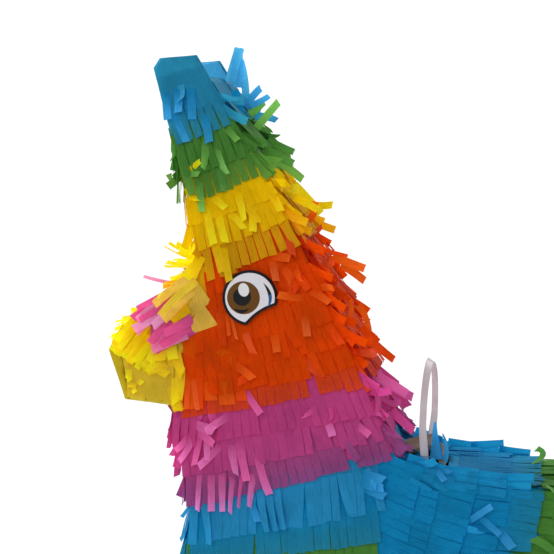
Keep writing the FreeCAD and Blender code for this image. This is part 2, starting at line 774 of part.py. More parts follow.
def tail():
    """A stub of rolled paper fixed in the rump, and the rope and brush that swing from it."""
    stub = doc.addObject("Part::Cylinder", "tail_stub_roll")
    bind(stub, "Radius", "Sizes.tail_stub_radius")
    bind(stub, "Height", "Sizes.tail_x - Sizes.stub_start_x - Sizes.tail_rope_radius - "
         "Sizes.hinge_clearance")
    stub.Placement = FreeCAD.Placement(
        FreeCAD.Vector(), FreeCAD.Rotation(FreeCAD.Vector(0, 1, 0), 90)
    )
    bind(stub, "Placement.Base.x", "Sizes.stub_start_x")
    bind(stub, "Placement.Base.z", "Sizes.tail_z")
    keep(stub, "tail_stub")
    roll = doc.addObject("Part::Cylinder", "tail_rope_roll")
    bind(roll, "Radius", "Sizes.tail_rope_radius")
    bind(roll, "Height", "Sizes.tail_rope_length")
    bind(roll, "Placement.Base.x", "Sizes.tail_x")
    bind(roll, "Placement.Base.z", "Sizes.tail_z - Sizes.tail_rope_length")
    knot = doc.addObject("Part::Sphere", "tail_rope_knot")
    bind(knot, "Radius", "Sizes.tail_rope_radius")
    bind(knot, "Placement.Base.x", "Sizes.tail_x")
    bind(knot, "Placement.Base.z", "Sizes.tail_z")
    keep(combine("Fuse", "tail_rope_shape", roll, knot), "tail_rope")
    brush = doc.addObject("Part::Cone", "tail_brush_cone")
    bind(brush, "Radius1", "Sizes.tail_brush_radius")
    bind(brush, "Radius2", "Sizes.tail_rope_radius")
    bind(brush, "Height", "Sizes.tail_brush_length")
    bind(brush, "Placement.Base.x", "Sizes.tail_x")
    bind(
        brush,
        "Placement.Base.z",
        "Sizes.tail_z - Sizes.tail_rope_length - Sizes.tail_brush_length",
    )
    keep(brush, "tail_brush")


def add_places():
    """Heights on the paper's surface above the back, where the hinges and the loop stand."""
    first_fall = (value["withers_z"] - value["saddle_z"]) / (
        value["saddle_x"] - value["withers_x"]
    )
    second_fall = (value["saddle_z"] - value["loin_z"]) / (value["loin_x"] - value["saddle_x"])
    paper_top = value["withers_z"] + value["skin"]
    inset = value["neck_hinge_inset"]
    set_cell("neck_hinge_x", value["withers_x"] + inset)
    set_cell("neck_hinge_z", paper_top - first_fall * inset)
    set_cell("loop_z", paper_top - first_fall * (value["loop_x"] - value["withers_x"]))
    drop = second_fall * (value["tail_hinge_x"] - value["saddle_x"])
    set_cell("tail_hinge_z", value["saddle_z"] + value["skin"] - drop)
    doc.recompute()


def check_and_write():
    """Stops on any failed object, then writes one file for each sub-part."""
    doc.recompute()
    for thing in doc.Objects:
        bad = [state for state in thing.State if state in ("Invalid", "Error")]
        if bad:
            raise SystemExit("%s failed: %s" % (thing.Label, bad))
    os.makedirs("parts", exist_ok=True)
    for thing in subparts:
        shape = thing.Shape
        if shape.isNull() or not shape.isValid() or shape.Volume < 1.0:
            raise SystemExit("%s has no valid shape" % thing.Label)
        shape.exportStep("parts/%s.step" % thing.Label)
        low = shape.BoundBox
        print(
            "%-24s %2d solids %10.1f mm3  X %7.1f %7.1f  Y %6.1f %6.1f  Z %6.1f %6.1f"
            % (thing.Label, len(shape.Solids), shape.Volume, low.XMin, low.XMax, low.YMin,
               low.YMax, low.ZMin, low.ZMax)
        )


fill_sheet()
add_places()
master_outline = outline_face()
side_panels()
strips(master_outline)
paper_bands(master_outline)
ear_linings()
eyes()
filling_flap()
hanging_loop()
tail()
check_and_write()
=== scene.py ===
import json
import math
import random

import bmesh
import bpy
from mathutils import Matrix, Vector, noise

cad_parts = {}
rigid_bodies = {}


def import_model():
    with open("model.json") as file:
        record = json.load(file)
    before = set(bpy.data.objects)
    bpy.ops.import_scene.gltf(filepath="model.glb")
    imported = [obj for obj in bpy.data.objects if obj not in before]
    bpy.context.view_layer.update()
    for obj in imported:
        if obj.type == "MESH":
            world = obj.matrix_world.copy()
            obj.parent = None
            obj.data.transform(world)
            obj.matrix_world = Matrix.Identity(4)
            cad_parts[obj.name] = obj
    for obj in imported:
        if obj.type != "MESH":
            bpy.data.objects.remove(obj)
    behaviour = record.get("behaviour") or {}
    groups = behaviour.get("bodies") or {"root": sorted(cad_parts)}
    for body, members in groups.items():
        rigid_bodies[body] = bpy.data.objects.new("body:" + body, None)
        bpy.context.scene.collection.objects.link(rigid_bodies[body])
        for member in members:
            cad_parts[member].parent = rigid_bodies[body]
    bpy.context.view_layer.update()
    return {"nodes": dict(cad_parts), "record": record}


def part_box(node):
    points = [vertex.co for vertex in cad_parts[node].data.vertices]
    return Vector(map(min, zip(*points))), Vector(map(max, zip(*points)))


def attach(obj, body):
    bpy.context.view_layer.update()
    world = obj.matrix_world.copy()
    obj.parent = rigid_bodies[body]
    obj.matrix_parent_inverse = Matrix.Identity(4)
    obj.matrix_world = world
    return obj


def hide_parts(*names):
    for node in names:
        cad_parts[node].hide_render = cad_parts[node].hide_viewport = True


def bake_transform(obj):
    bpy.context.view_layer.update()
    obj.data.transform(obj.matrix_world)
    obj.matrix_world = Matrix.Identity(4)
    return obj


# A donkey pinata covered in rows of cut crepe paper. The CAD nodes give every place; the fringe,
# the wrapped ears and nose, the eyes, the loop, the flap and the tail are built around them here.
# Lengths are in metres, angles of fringe in degrees from straight down, positive towards +X.

for leftover in list(bpy.data.objects):
    bpy.data.objects.remove(leftover)
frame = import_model()
nodes = frame["nodes"]

MM = 0.001
HALF = 0.0615  # half thickness of the body over its glued paper
SKIN = 0.0015  # glued paper on the board's outline
FINE = 0.0002

# ------------------------------------------------------------------ colours, linear RGB

BLUE = (0.006, 0.290, 0.580)
# Painted light: a lit pale copy of the blue, for the ear insides and for strips that stand out.
LIT_PALE_BLUE = (0.085, 0.500, 0.830)
GREEN = (0.092, 0.300, 0.048)
YELLOW = (0.920, 0.630, 0.001)
GOLD = (0.800, 0.430, 0.006)
# Painted light: a lit copy of the yellow, for strips that stand out and for tips.
LIT_YELLOW = (0.950, 0.760, 0.008)
ORANGE = (0.800, 0.073, 0.0005)
PINK = (0.650, 0.074, 0.300)
PURPLE = (0.360, 0.088, 0.285)
EAR_BLUE = (0.026, 0.315, 0.530)
SHOULDER_BLUE = (0.026, 0.330, 0.620)


def mixed(first, second, share):
    """The colour a share of the way from the first to the second."""
    return tuple(a + (b - a) * share for a, b in zip(first, second))


def brighter(tone, factor, more=0.0):
    """The colour times a factor, no channel over 1."""
    return tuple(min(1.0, c * factor + more) for c in tone)


def added(name, data):
    """A new object in the scene."""
    made = bpy.data.objects.new(name, data)
    bpy.context.scene.collection.objects.link(made)
    return made


def dress(made, slot, *replaced, body="donkey"):
    """Ties a piece to its body and hides the CAD nodes that it stands for; its material slot is not
    used.
    """
    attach(made, body)
    if replaced:
        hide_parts(*replaced)
    return made


def slot_of(name):
    """The record's slot of a node."""
    subparts = frame["record"]["subparts"]
    return next(entry["material_slot"] for entry in subparts if entry["node"] == name)


def sideways(side):
    """The direction out of one flat side: -1 is the near one."""
    return Vector((0.0, float(side), 0.0))


def upright(flat):
    """A direction in the outline's plane as one in space."""
    return Vector((flat.x, 0.0, flat.y))


# ------------------------------------------------------------------ camera, stage and light


def aim(thing, target):
    """Turns a camera or light so that it looks at a point."""
    thing.rotation_euler = (Vector(target) - thing.location).to_track_quat("-Z", "Y").to_euler()


def make_camera():
    data = bpy.data.cameras.new("camera")
    data.lens = 126.1
    data.sensor_width = 36.0
    camera = added("camera", data)
    camera.location = (0.082, -1.4469, 0.5054)
    aim(camera, (-0.076, -0.060, 0.398))
    bpy.context.scene.camera = camera


def area_light(name, place, target, size, power, tone=(1, 1, 1)):
    data = bpy.data.lights.new(name, "AREA")
    data.shape = "DISK"
    data.size = size
    data.energy = power
    data.color = tone
    light = added(name, data)
    light.location = place
    aim(light, target)


def fill(tree, made, **values):
    """Gives a node's inputs their numbers or links, and its settings their values."""
    for key, value in values.items():
        label = key.replace("_", " ")
        if label not in made.inputs:
            setattr(made, key, value)
        elif isinstance(value, bpy.types.NodeSocket):
            tree.links.new(value, made.inputs[label])
        else:
            made.inputs[label].default_value = value
    return made


def node(tree, kind, **values):
    return fill(tree, tree.nodes.new(kind), **values)


def blended(tree, first, second, share, output):
    """Two shaders mixed by a number or a socket, led to an output."""
    mix = node(tree, "ShaderNodeMixShader", Fac=share)
    tree.links.new(first.outputs[0], mix.inputs[1])
    tree.links.new(second.outputs[0], mix.inputs[2])
    tree.links.new(mix.outputs[0], output.inputs["Surface"])


FLOOR_RADIUS = 0.78  # its far edge falls just below the main picture
FLOOR_SIDES = 96
WORLD_SEEN = 1.1
WORLD_LIGHT = 0.42
KEY_POWER = 42.0
FRONT_POWER = 16.0
BACK_POWER = 22.0


def make_stage():
    """A pale floor and a near-white studio round it, lit softly from the left and above."""
    mesh = bpy.data.meshes.new("floor")
    turns = [math.tau * i / FLOOR_SIDES for i in range(FLOOR_SIDES)]
    rim = [(FLOOR_RADIUS * math.cos(t), FLOOR_RADIUS * math.sin(t), 0.0) for t in turns]
    mesh.from_pydata(rim, [], [tuple(range(FLOOR_SIDES))])
    floor = added("floor", mesh)
    material, tree, shader, _ = new_material("floor_white")
    fill(tree, shader, Base_Color=(0.93, 0.93, 0.93, 1), Roughness=0.9, Specular_IOR_Level=0.1)
    mesh.materials.append(material)

    world = bpy.data.worlds.new("studio")
    world.use_nodes = True
    tree = world.node_tree
    tree.nodes.clear()
    seen = node(tree, "ShaderNodeBackground", Color=(1, 1, 1, 1), Strength=WORLD_SEEN)
    lit = node(tree, "ShaderNodeBackground", Color=(0.97, 0.985, 1.0, 1), Strength=WORLD_LIGHT)
    path = node(tree, "ShaderNodeLightPath")
    blended(tree, lit, seen, path.outputs["Is Camera Ray"], node(tree, "ShaderNodeOutputWorld"))
    bpy.context.scene.world = world

    middle = (-0.05, 0.0, 0.34)
    area_light("key", (-1.6, 0.35, 1.75), middle, 0.9, KEY_POWER, (1.0, 0.99, 0.97))
    area_light("front", (-0.5, -2.2, 1.3), middle, 1.6, FRONT_POWER)
    area_light("back", (0.9, 1.7, 1.5), middle, 1.2, BACK_POWER)
    bpy.context.scene.view_settings.view_transform = "Standard"
    bpy.context.scene.view_settings.look = "None"


def new_material(name):
    """A node material with its Principled shader, for a build of its own."""
    material = bpy.data.materials.new(name)
    material.use_nodes = True
    tree = material.node_tree
    return material, tree, tree.nodes["Principled BSDF"], tree.nodes["Material Output"]


make_camera()
make_stage()

# ------------------------------------------------------------------ materials


def texture(tree, vector, scale=1.0, detail=2.0, roughness=0.5):
    """A noise texture's brightness."""
    return node(tree, "ShaderNodeTexNoise", Vector=vector, Scale=scale, Detail=detail,
                Roughness=roughness).outputs["Fac"]


def level(tree, source, floor, top, low=0.0, high=1.0):
    """Maps a texture's usual span to a span of factors."""
    return node(tree, "ShaderNodeMapRange", Value=source, From_Min=low, From_Max=high,
                To_Min=floor, To_Max=top).outputs["Result"]


def reckoned(tree, operation, *sources):
    """A Math node on sockets and numbers, in the order of its inputs."""
    made = node(tree, "ShaderNodeMath", operation=operation)
    for slot, source in zip(made.inputs, sources):
        if isinstance(source, bpy.types.NodeSocket):
            tree.links.new(source, slot)
        else:
            slot.default_value = source
    return made.outputs[0]


def scaled(tree, tone, factor):
    """A colour times a factor."""
    return node(tree, "ShaderNodeVectorMath", operation="SCALE", Vector=tone,
                Scale=factor).outputs["Vector"]


def ramp(tree, share, low, high, span=(0.0, 1.0)):
    """A colour between two."""
    made = node(tree, "ShaderNodeValToRGB", Fac=share)
    for element, place, tone in zip(made.color_ramp.elements, span, (low, high)):
        element.position = place
        element.color = (*tone, 1)
    return made.outputs["Color"]


def bumped(tree, height, strength, distance):
    """The normal of a finely raised surface."""
    return node(tree, "ShaderNodeBump", Strength=strength, Distance=distance,
                Height=height).outputs["Normal"]


def object_place(tree):
    return node(tree, "ShaderNodeTexCoord").outputs["Object"]


def scaled_uv(tree, across, along):
    """The paper's own coordinates, in metres, each multiplied by a scale."""
    uv = node(tree, "ShaderNodeUVMap", uv_map="crepe").outputs["UV"]
    return node(tree, "ShaderNodeMapping", Vector=uv, Scale=(across, along, 1)).outputs["Vector"]


def crepe_material(name, see_through, crease=0.55):
    """Crepe paper: colour from the piece's own tint, mottled, with fine creases along the strip,
    painted shade in the creases' hollows and painted light on their ridges.
    """
    material, tree, shader, output = new_material(name)
    tint = node(tree, "ShaderNodeAttribute", attribute_name="tint").outputs["Color"]
    creases = texture(tree, scaled_uv(tree, 1500.0, 130.0), 1.0, 4.0, 0.6)
    pulls = texture(tree, scaled_uv(tree, 260.0, 330.0), 1.0, 3.0, 0.55)
    blotch = texture(tree, object_place(tree), 38.0, 3.0, 0.6)
    grain = texture(tree, scaled_uv(tree, 4200.0, 1500.0), 1.0, 2.0, 0.7)
    # The crease texture also scales the colour: painted shade in the bump's hollows, painted light
    # on its ridges.
    factor = level(tree, creases, 0.86, 1.12, 0.3, 0.7)
    for source, floor, top in ((blotch, 0.90, 1.10), (grain, 0.95, 1.05)):
        factor = reckoned(tree, "MULTIPLY", factor, level(tree, source, floor, top, 0.3, 0.7))
    shade = scaled(tree, tint, factor)
    normal = bumped(tree, reckoned(tree, "ADD", creases, pulls), crease, 0.0006)
    fill(tree, shader, Base_Color=shade, Roughness=level(tree, pulls, 0.52, 0.78),
         Specular_IOR_Level=0.04, Sheen_Weight=0.01, Sheen_Roughness=0.5, Normal=normal)
    glow = node(tree, "ShaderNodeBsdfTranslucent", Color=scaled(tree, shade, 1.35), Normal=normal)
    blended(tree, shader, glow, see_through, output)
    return material


def board_material(name):
    """Grey-brown corrugated board: fibre mottling, faint flute lines and a dull finish."""
    material, tree, shader, _ = new_material(name)
    place = object_place(tree)
    fibre = texture(tree, place, 260.0, 6.0, 0.7)
    stain = texture(tree, place, 22.0, 3.0)
    flutes = node(tree, "ShaderNodeTexWave", Scale=48.0, Distortion=0.6, bands_direction="Z",
                  Vector=place).outputs["Fac"]
    mottle = reckoned(tree, "MULTIPLY_ADD", stain, 0.35, reckoned(tree, "MULTIPLY", fibre, 0.65))
    relief = reckoned(tree, "MULTIPLY_ADD", fibre, 0.3, flutes)
    fill(tree, shader, Roughness=0.88, Specular_IOR_Level=0.2,
         Base_Color=ramp(tree, mottle, (0.150, 0.105, 0.065), (0.340, 0.262, 0.178), (0.30, 0.72)),
         Normal=bumped(tree, relief, 0.35, 0.0004))
    return material


def print_material(name, tone):
    """Ink on a coated sticker: a slightly mottled tone under a thin gloss."""
    material, tree, shader, _ = new_material(name)
    place = object_place(tree)
    mottle = level(tree, texture(tree, place, 900.0, 3.0, 0.7), 0.88, 1.10)
    fill(tree, shader, Base_Color=scaled(tree, tone, mottle), Roughness=0.5,
         Specular_IOR_Level=0.2, Coat_Weight=0.04, Coat_Roughness=0.25,
         Normal=bumped(tree, texture(tree, place, 55.0), 0.12, 0.001))
    return material


def plastic_material(name):
    """Milky moulded strap: light passes through it, with fine lines along its length."""
    material, tree, shader, output = new_material(name)
    lines = texture(tree, scaled_uv(tree, 2600.0, 60.0), 1.0, 3.0)
    cloud = texture(tree, scaled_uv(tree, 120.0, 70.0))
    milk = ramp(tree, cloud, (0.93, 0.88, 0.89), (0.99, 0.96, 0.95), (0.3, 0.7))
    fill(tree, shader, Base_Color=milk, Roughness=0.38, Subsurface_Weight=0.35,
         Subsurface_Radius=(0.004, 0.0035, 0.003), Normal=bumped(tree, lines, 0.3, 0.0002))
    glow = node(tree, "ShaderNodeBsdfTranslucent", Color=milk)
    blended(tree, shader, glow, 0.55, output)
    return material


def wire_material(name):
    """Slightly worn steel."""
    material, tree, shader, _ = new_material(name)
    worn = texture(tree, object_place(tree), 700.0, 3.0)
    fill(tree, shader, Base_Color=ramp(tree, worn, (0.42, 0.42, 0.44), (0.66, 0.66, 0.68)),
         Metallic=1.0, Roughness=0.34)
    return material


FRINGE = crepe_material("crepe_fringe", 0.30)
WRAP = crepe_material("crepe_wrap", 0.10, crease=0.35)
STRAP = plastic_material("milky_strap")
WIRE = wire_material("staple_wire")
BOARD = board_material("corrugated_board")

# ------------------------------------------------------------------ the outline


SMOOTHING = 0.003  # half the stretch over which a normal is averaged


class Outline:
    """The closed outline of a side panel in the XZ plane, anticlockwise seen from the near side."""

    def __init__(self, panel, level):
        mesh = panel.data
        mesh.calc_loop_triangles()
        places = {}
        keys = []
        for vertex in mesh.vertices:
            key = tuple(round(c, 6) for c in vertex.co)
            places[key] = vertex.co.copy()
            keys.append(key)
        edges = {}
        for triangle in mesh.loop_triangles:
            corners = [keys[i] for i in triangle.vertices]
            if any(abs(c[1] - level) > 1e-5 for c in corners):
                continue
            for start, end in zip(corners, corners[1:] + corners[:1]):
                if (end, start) in edges:
                    del edges[(end, start)]
                else:
                    edges[(start, end)] = True
        following = {start: end for start, end in edges}
        first = min(following)
        chain = [first]
        while following[chain[-1]] != first:
            chain.append(following[chain[-1]])
        points = [Vector((key[0], key[2])) for key in chain]
        area = sum(a.x * b.y - b.x * a.y for a, b in zip(points, points[1:] + points[:1]))
        if area < 0:
            points.reverse()
        self.points = points
        self.ends = points[1:] + points[:1]
        self.lengths = [(b - a).length for a, b in zip(self.points, self.ends)]
        self.starts = [0.0]
        for length in self.lengths:
            self.starts.append(self.starts[-1] + length)
        self.total = self.starts[-1]

    def at(self, distance):
        """Point and tangent at a distance along the outline."""
        distance %= self.total
        low, high = 0, len(self.lengths)
        while high - low > 1:
            middle = (low + high) // 2
            if self.starts[middle] <= distance:
                low = middle
            else:
                high = middle
        start, end = self.points[low], self.ends[low]
        tangent = (end - start).normalized()
        return start + tangent * (distance - self.starts[low]), tangent

    def smooth(self, distance):
        """Point with the outward normal averaged over a short stretch of the outline."""
        point, _ = self.at(distance)
        total = Vector((0.0, 0.0))
        for step in (-1.0, -0.5, 0.0, 0.5, 1.0):
            _, nearby = self.at(distance + step * SMOOTHING)
            total += Vector((nearby.y, -nearby.x))
        return point, total.normalized()

    def crossings(self, start, end):
        """Where the endless line through two points meets the outline: (share of the line from
        start to end, distance along the outline), in order along the line."""
        found = []
        line = end - start
        for index, (a, b) in enumerate(zip(self.points, self.ends)):
            side = b - a
            cross = line.x * side.y - line.y * side.x
            if abs(cross) < 1e-12:
                continue
            offset = a - start
            share = (offset.x * side.y - offset.y * side.x) / cross
            part = (offset.x * line.y - offset.y * line.x) / cross
            if 0 <= part < 1:
                found.append((share, self.starts[index] + part * self.lengths[index]))
        return sorted(found)


outline = Outline(nodes["near_side_panel"], -0.060)

# ------------------------------------------------------------------ building sheets of paper


class Paper:
    """Collects grids of paper and turns them into one mesh piece."""

    def __init__(self):
        self.verts, self.faces, self.uvs, self.tints = [], [], [], []

    def grid(self, rows, uvs, tints):
        """One sheet: rows of points, each with a place on the paper and a colour."""
        width = len(rows[0])
        base = len(self.verts)
        for row, uv_row, tint_row in zip(rows, uvs, tints):
            self.verts.extend(tuple(point) for point in row)
            self.uvs.extend(uv_row)
            self.tints.extend(tint_row)
        for i in range(len(rows) - 1):
            for j in range(width - 1):
                a = base + i * width + j
                self.faces.append((a, a + 1, a + width + 1, a + width))

    def piece(self, name, material):
        mesh = bpy.data.meshes.new(name)
        mesh.from_pydata(self.verts, [], self.faces)
        mesh.materials.append(material)
        layer = mesh.uv_layers.new(name="crepe")
        for loop in mesh.loops:
            layer.data[loop.index].uv = self.uvs[loop.vertex_index]
        colour = mesh.attributes.new("tint", "FLOAT_COLOR", "POINT")
        for index, tint in enumerate(self.tints):
            colour.data[index].color = (*tint, 1.0)
        mesh.polygons.foreach_set("use_smooth", [True] * len(mesh.polygons))
        mesh.validate()
        return added(name, mesh)


def strip(paper, rng, spot, width, length, look, tones):
    """One cut strip of fringe. spot(distance) gives the surface point under it, the direction it
    runs in and the outward normal. look has rise, lift, curl, lean, bend, twist, cup, limit."""
    steps = 5 + (3 if abs(look["curl"]) + abs(look["twist"]) > 0.7 else 0)
    root, along, out = spot(0.0)
    place = root + out * look["rise"]
    rows, uvs, tints = [], [], []
    shift_u, shift_v = rng.uniform(0, 9), rng.uniform(0, 9)
    reach = length / steps
    taper = look.get("taper", 0.0)
    for step in range(steps + 1):
        t = step / steps
        base, along, out = spot(length * t)
        side = along.cross(out)
        turn = look["lean"] + look["bend"] * t
        heading = along * math.cos(turn) + side * math.sin(turn)
        across = side * math.cos(turn) - along * math.sin(turn)
        pitch = look["lift"] + look["curl"] * t * t
        forward = heading * math.cos(pitch) + out * math.sin(pitch)
        face = out * math.cos(pitch) - heading * math.sin(pitch)
        roll = look["twist"] * t
        edge = across * math.cos(roll) + face * math.sin(roll)
        normal = face * math.cos(roll) - across * math.sin(roll)
        if step:
            place = place + forward * reach
        height = (place - base).dot(out)
        shown = place
        limit = look["limit"]
        if height > 0:
            shown = place + out * (limit * (1 - math.exp(-height / limit)) - height)
        if height < FINE:
            shown = place + out * (FINE - height)
        half = width / 2 * (1 - taper * t)
        cut = look.get("cut", 0.0) if step == steps else 0.0
        rows.append([
            shown - edge * half + forward * cut,
            shown + normal * look["cup"],
            shown + edge * half - forward * cut,
        ])
        v = length * t
        uvs.append([(shift_u - half, shift_v + v), (shift_u, shift_v + v),
                    (shift_u + half, shift_v + v)])
        tone = mixed(tones[0], tones[1], t)
        tints.append([tone] * 3)
    paper.grid(rows, uvs, tints)


def flat_spot(root, along, out):
    """A strip's surface where it lies on a flat side."""
    def spot(distance):
        return root + along * distance, along, out
    return spot


def bent_spot(distance, sense, y):
    """A strip's surface where it follows the outline across the strips between the panels."""
    def spot(travel):
        point, normal = outline.smooth(distance + sense * travel)
        out = upright(normal)
        tangent = Vector((-normal.y, 0.0, normal.x)) * sense
        base = Vector((point.x, y, point.y)) + out * SKIN
        return base, tangent, out
    return spot


def look_for(rng, wild, limit, calm=False):
    """A group's shared shape: mostly flat, some lifted, and a few curled right over."""
    look = {
        "rise": 0.0006, "lift": 0.06 + rng.uniform(0, 0.05), "curl": rng.uniform(-0.05, 0.12),
        "lean": rng.gauss(0, 0.035), "bend": rng.gauss(0, 0.05), "twist": 0.0,
        "cup": rng.uniform(0.0, 0.0005), "limit": limit, "cut": 0.0,
    }
    if calm:
        look["curl"] = 0.0
        look["limit"] = min(limit, 0.003)
        return look
    draw = rng.random()
    if draw < wild * 0.45:  # curled up, crossing its neighbours
        look["lift"] = rng.uniform(0.15, 0.7)
        look["curl"] = rng.choice((-1, 1)) * rng.uniform(0.8, 2.6)
        look["twist"] = rng.uniform(-1.8, 1.8)
        look["lean"] = rng.uniform(-0.5, 0.5)
        look["bend"] = rng.uniform(-0.9, 0.9)
    elif draw < wild:  # lifted and leaning
        look["lift"] = rng.uniform(0.12, 0.5)
        look["curl"] = rng.uniform(-0.5, 0.5)
        look["lean"] = rng.uniform(-0.25, 0.25)
        look["bend"] = rng.uniform(-0.3, 0.3)
        look["twist"] = rng.uniform(-0.9, 0.9)
    return look


PITCH = 0.0060  # from one cut to the next
CUT_WIDTH = 0.0060


def lay_strips(paper, rng, count, spot_of, length, tones, wild, limit, calm=None, skip=None,
               stand=0.0):
    """Fringe along one face: count strips in small groups that stay together. spot_of(share)
    gives a strip's surface, calm(share) says that it lies flat, skip(share) that it is missing."""
    index = 0
    while index < count:
        size = min(count - index, rng.choice((1, 2, 3, 4, 5, 6, 8)))
        middle = (index + size / 2) / count
        quiet = bool(calm and calm(middle))
        group = look_for(rng, wild if size < 4 else wild * 0.25, limit, quiet)
        group_length = length * rng.uniform(0.94, 1.05)
        group_tone = rng.uniform(-0.05, 0.05)
        level = rng.uniform(0, 0.0004)
        group_stand = rng.random()
        for member in range(size):
            share = (index + member + 0.5) / count
            look = dict(group)
            look["rise"] += level
            look["lift"] += stand * (0.4 + 1.2 * group_stand)
            look["twist"] += stand * rng.uniform(-2.5, 2.5)
            look["lift"] += rng.uniform(-0.012, 0.012)
            look["lean"] += rng.gauss(0, 0.007)
            look["curl"] += rng.uniform(-0.05, 0.05)
            look["cut"] = rng.uniform(-0.0006, 0.0006)
            own = group_length * rng.uniform(0.985, 1.015)
            if not quiet and rng.random() < wild * 0.35:
                look = look_for(rng, 1.0, limit)
                own *= rng.uniform(0.8, 1.1)
            if skip and skip(share):
                rng.random()
                continue
            shine = 1 + group_tone + rng.uniform(-0.04, 0.04)
            # Strips that lift or curl are mixed paler: painted light, the glow of a single lifted
            # layer with light through it.
            painted_light = max(0.0, min(0.28, (abs(look["lift"]) + abs(look["curl"]) - 0.35) * 0.14))
            pair = []
            for tone in tones:
                tone = brighter(tone, shine)
                pair.append(mixed(tone, brighter(tone, 1.7, 0.04), painted_light * 2))
            strip(paper, rng, spot_of(share), CUT_WIDTH * rng.uniform(0.97, 1.03), own, look, pair)
        index += size


def header(paper, points, tone, rng):
    """The uncut edge of a row: a narrow ribbon under the strips' roots. points is a list of
    (upper, lower) pairs along the row."""
    shift = rng.uniform(0, 9)
    travel = 0.0
    rows, uvs = [], []
    for index, (upper, lower) in enumerate(points):
        if index:
            travel += (lower - points[index - 1][1]).length
        rows.append([upper, lower])
        depth = (upper - lower).length
        uvs.append([(shift + travel, shift), (shift + travel, shift + depth)])
    paper.grid(rows, uvs, [[tone, tone] for _ in rows])


def edge_ribbon(paper, distance, sense, low_y, high_y, cells, depth, tone, rng):
    """A row's uncut edge where the row follows the outline."""
    ribbon = []
    for index in range(cells + 1):
        y = low_y + (high_y - low_y) * index / cells
        low, _, out = bent_spot(distance, sense, y)(0.0)
        high, _, high_out = bent_spot(distance, sense, y)(-depth)
        ribbon.append((high + high_out * 0.0005, low + out * 0.0007))
    header(paper, ribbon, tone, rng)


def heading_of(angle):
    """Direction in the XZ plane of a strip at an angle from straight down, positive to +X."""
    return Vector((math.sin(math.radians(angle)), 0.0, -math.cos(math.radians(angle))))


HEADER = 0.009


def edge_tuft(paper, rng, distance, angle, side, length, tones, count):
    """A few strips at the end of a row that stand out past the outline, facing the side."""
    point, normal = outline.smooth(distance)
    outward = math.degrees(math.atan2(normal.x, -normal.y))
    swing = (outward - angle + 180) % 360 - 180
    out = sideways(side)
    for _ in range(count):
        turn = angle + math.copysign(rng.uniform(0.08, 0.42), swing) * abs(swing)
        depth = rng.choice((0.0005, 0.002, 0.006, 0.014, 0.03))
        root = Vector((point.x, side * (HALF + FINE - depth), point.y))
        root -= upright(normal) * 0.001
        root += heading_of(angle) * rng.uniform(-0.004, 0.012)
        look = look_for(rng, 0.5, 0.008)
        look["lift"] = rng.uniform(-0.1, 0.15)
        look["bend"] += rng.uniform(-0.5, 0.2) * math.copysign(1, swing)
        # A random tone that is mostly lighter: painted light on the strips that stand past the
        # outline.
        shine = rng.uniform(0.95, 1.3)
        pair = [brighter(tone, shine) for tone in tones]
        strip(paper, rng, flat_spot(root, heading_of(turn), out), CUT_WIDTH,
              length * rng.uniform(0.6, 0.95), look, pair)


SIDE_LIMIT = 0.009  # how far a row's strips may stand out from a flat side
EDGE_LIMIT = 0.022  # and from the strips between the panels


def fringe_row(name, replaced, start, end, angles, length, tones, wild, ends, calm=None,
               y_skip=None, stand=0.0, tuft=0):
    """One row of fringe round the body. start and end are the ends of its root line on the near
    side, in millimetres; ends says for each whether the row goes on round the edge ("e"), stops
    at the outline ("c") or stops where it is given ("s"). angles are the strips' directions at
    the two ends. tones are the colours at the roots and at the tips."""
    rng = random.Random(name + "0")
    a = Vector((start[0], start[1])) * MM
    b = Vector((end[0], end[1])) * MM
    crossings = outline.crossings(a, b)
    edge_a = [c for c in crossings if c[0] < 0.5]
    edge_b = [c for c in crossings if c[0] > 0.5]
    share_a = edge_a[-1][0] if ends[0] != "s" and edge_a else 0.0
    share_b = edge_b[0][0] if ends[1] != "s" and edge_b else 1.0
    first = a.lerp(b, share_a)
    last = a.lerp(b, share_b)
    span = (last - first).length
    count = max(1, round(span / PITCH))
    paper = Paper()
    for side in (-1, 1):
        out = sideways(side)

        def root_at(share):
            point = first.lerp(last, share)
            return Vector((point.x, side * (HALF + FINE), point.y))

        def spot_of(share):
            angle = angles[0] + (angles[1] - angles[0]) * share
            return flat_spot(root_at(share), heading_of(angle), out)

        ribbon = []
        for index in range(13):
            share = index / 12
            angle = angles[0] + (angles[1] - angles[0]) * share
            low = root_at(share) + out * 0.0006
            ribbon.append((low - heading_of(angle) * HEADER - out * 0.0003,
                           low + heading_of(angle) * 0.0005))
        header(paper, ribbon, tones[0], rng)
        lay_strips(paper, rng, count, spot_of, length, tones, wild, SIDE_LIMIT, calm)
    for last, kind, found, angle in (
        (False, ends[0], edge_a[-1:], angles[0]), (True, ends[1], edge_b[:1], angles[1])
    ):
        if kind != "e" or not found:
            continue
        distance = found[0][1]
        _, tangent = outline.at(distance)
        way = heading_of(angle)
        sense = 1 if tangent.x * way.x + tangent.y * way.z > 0 else -1
        across = round(2 * HALF / PITCH)
        for side in (-1, 1):
            edge_tuft(paper, rng, found[0][1], angle, side, length, tones,
                      tuft if last else tuft // 2)

        def spot_of(share):
            y = -HALF + 2 * HALF * share
            return bent_spot(distance, sense, y)

        edge_ribbon(paper, distance, sense, -HALF, HALF, 8, HEADER, tones[0], rng)
        lay_strips(paper, rng, across, spot_of, length, tones,
                   wild * 1.1, EDGE_LIMIT,
                   skip=(lambda share: y_skip(-HALF + 2 * HALF * share, last)) if y_skip else None,
                   stand=stand)
    dress(paper.piece(name, FRINGE), slot_of(replaced), replaced)


# ------------------------------------------------------------------ rows of fringe

EYE_REACH = 0.024  # strips that come this near to the eye's middle lie flat


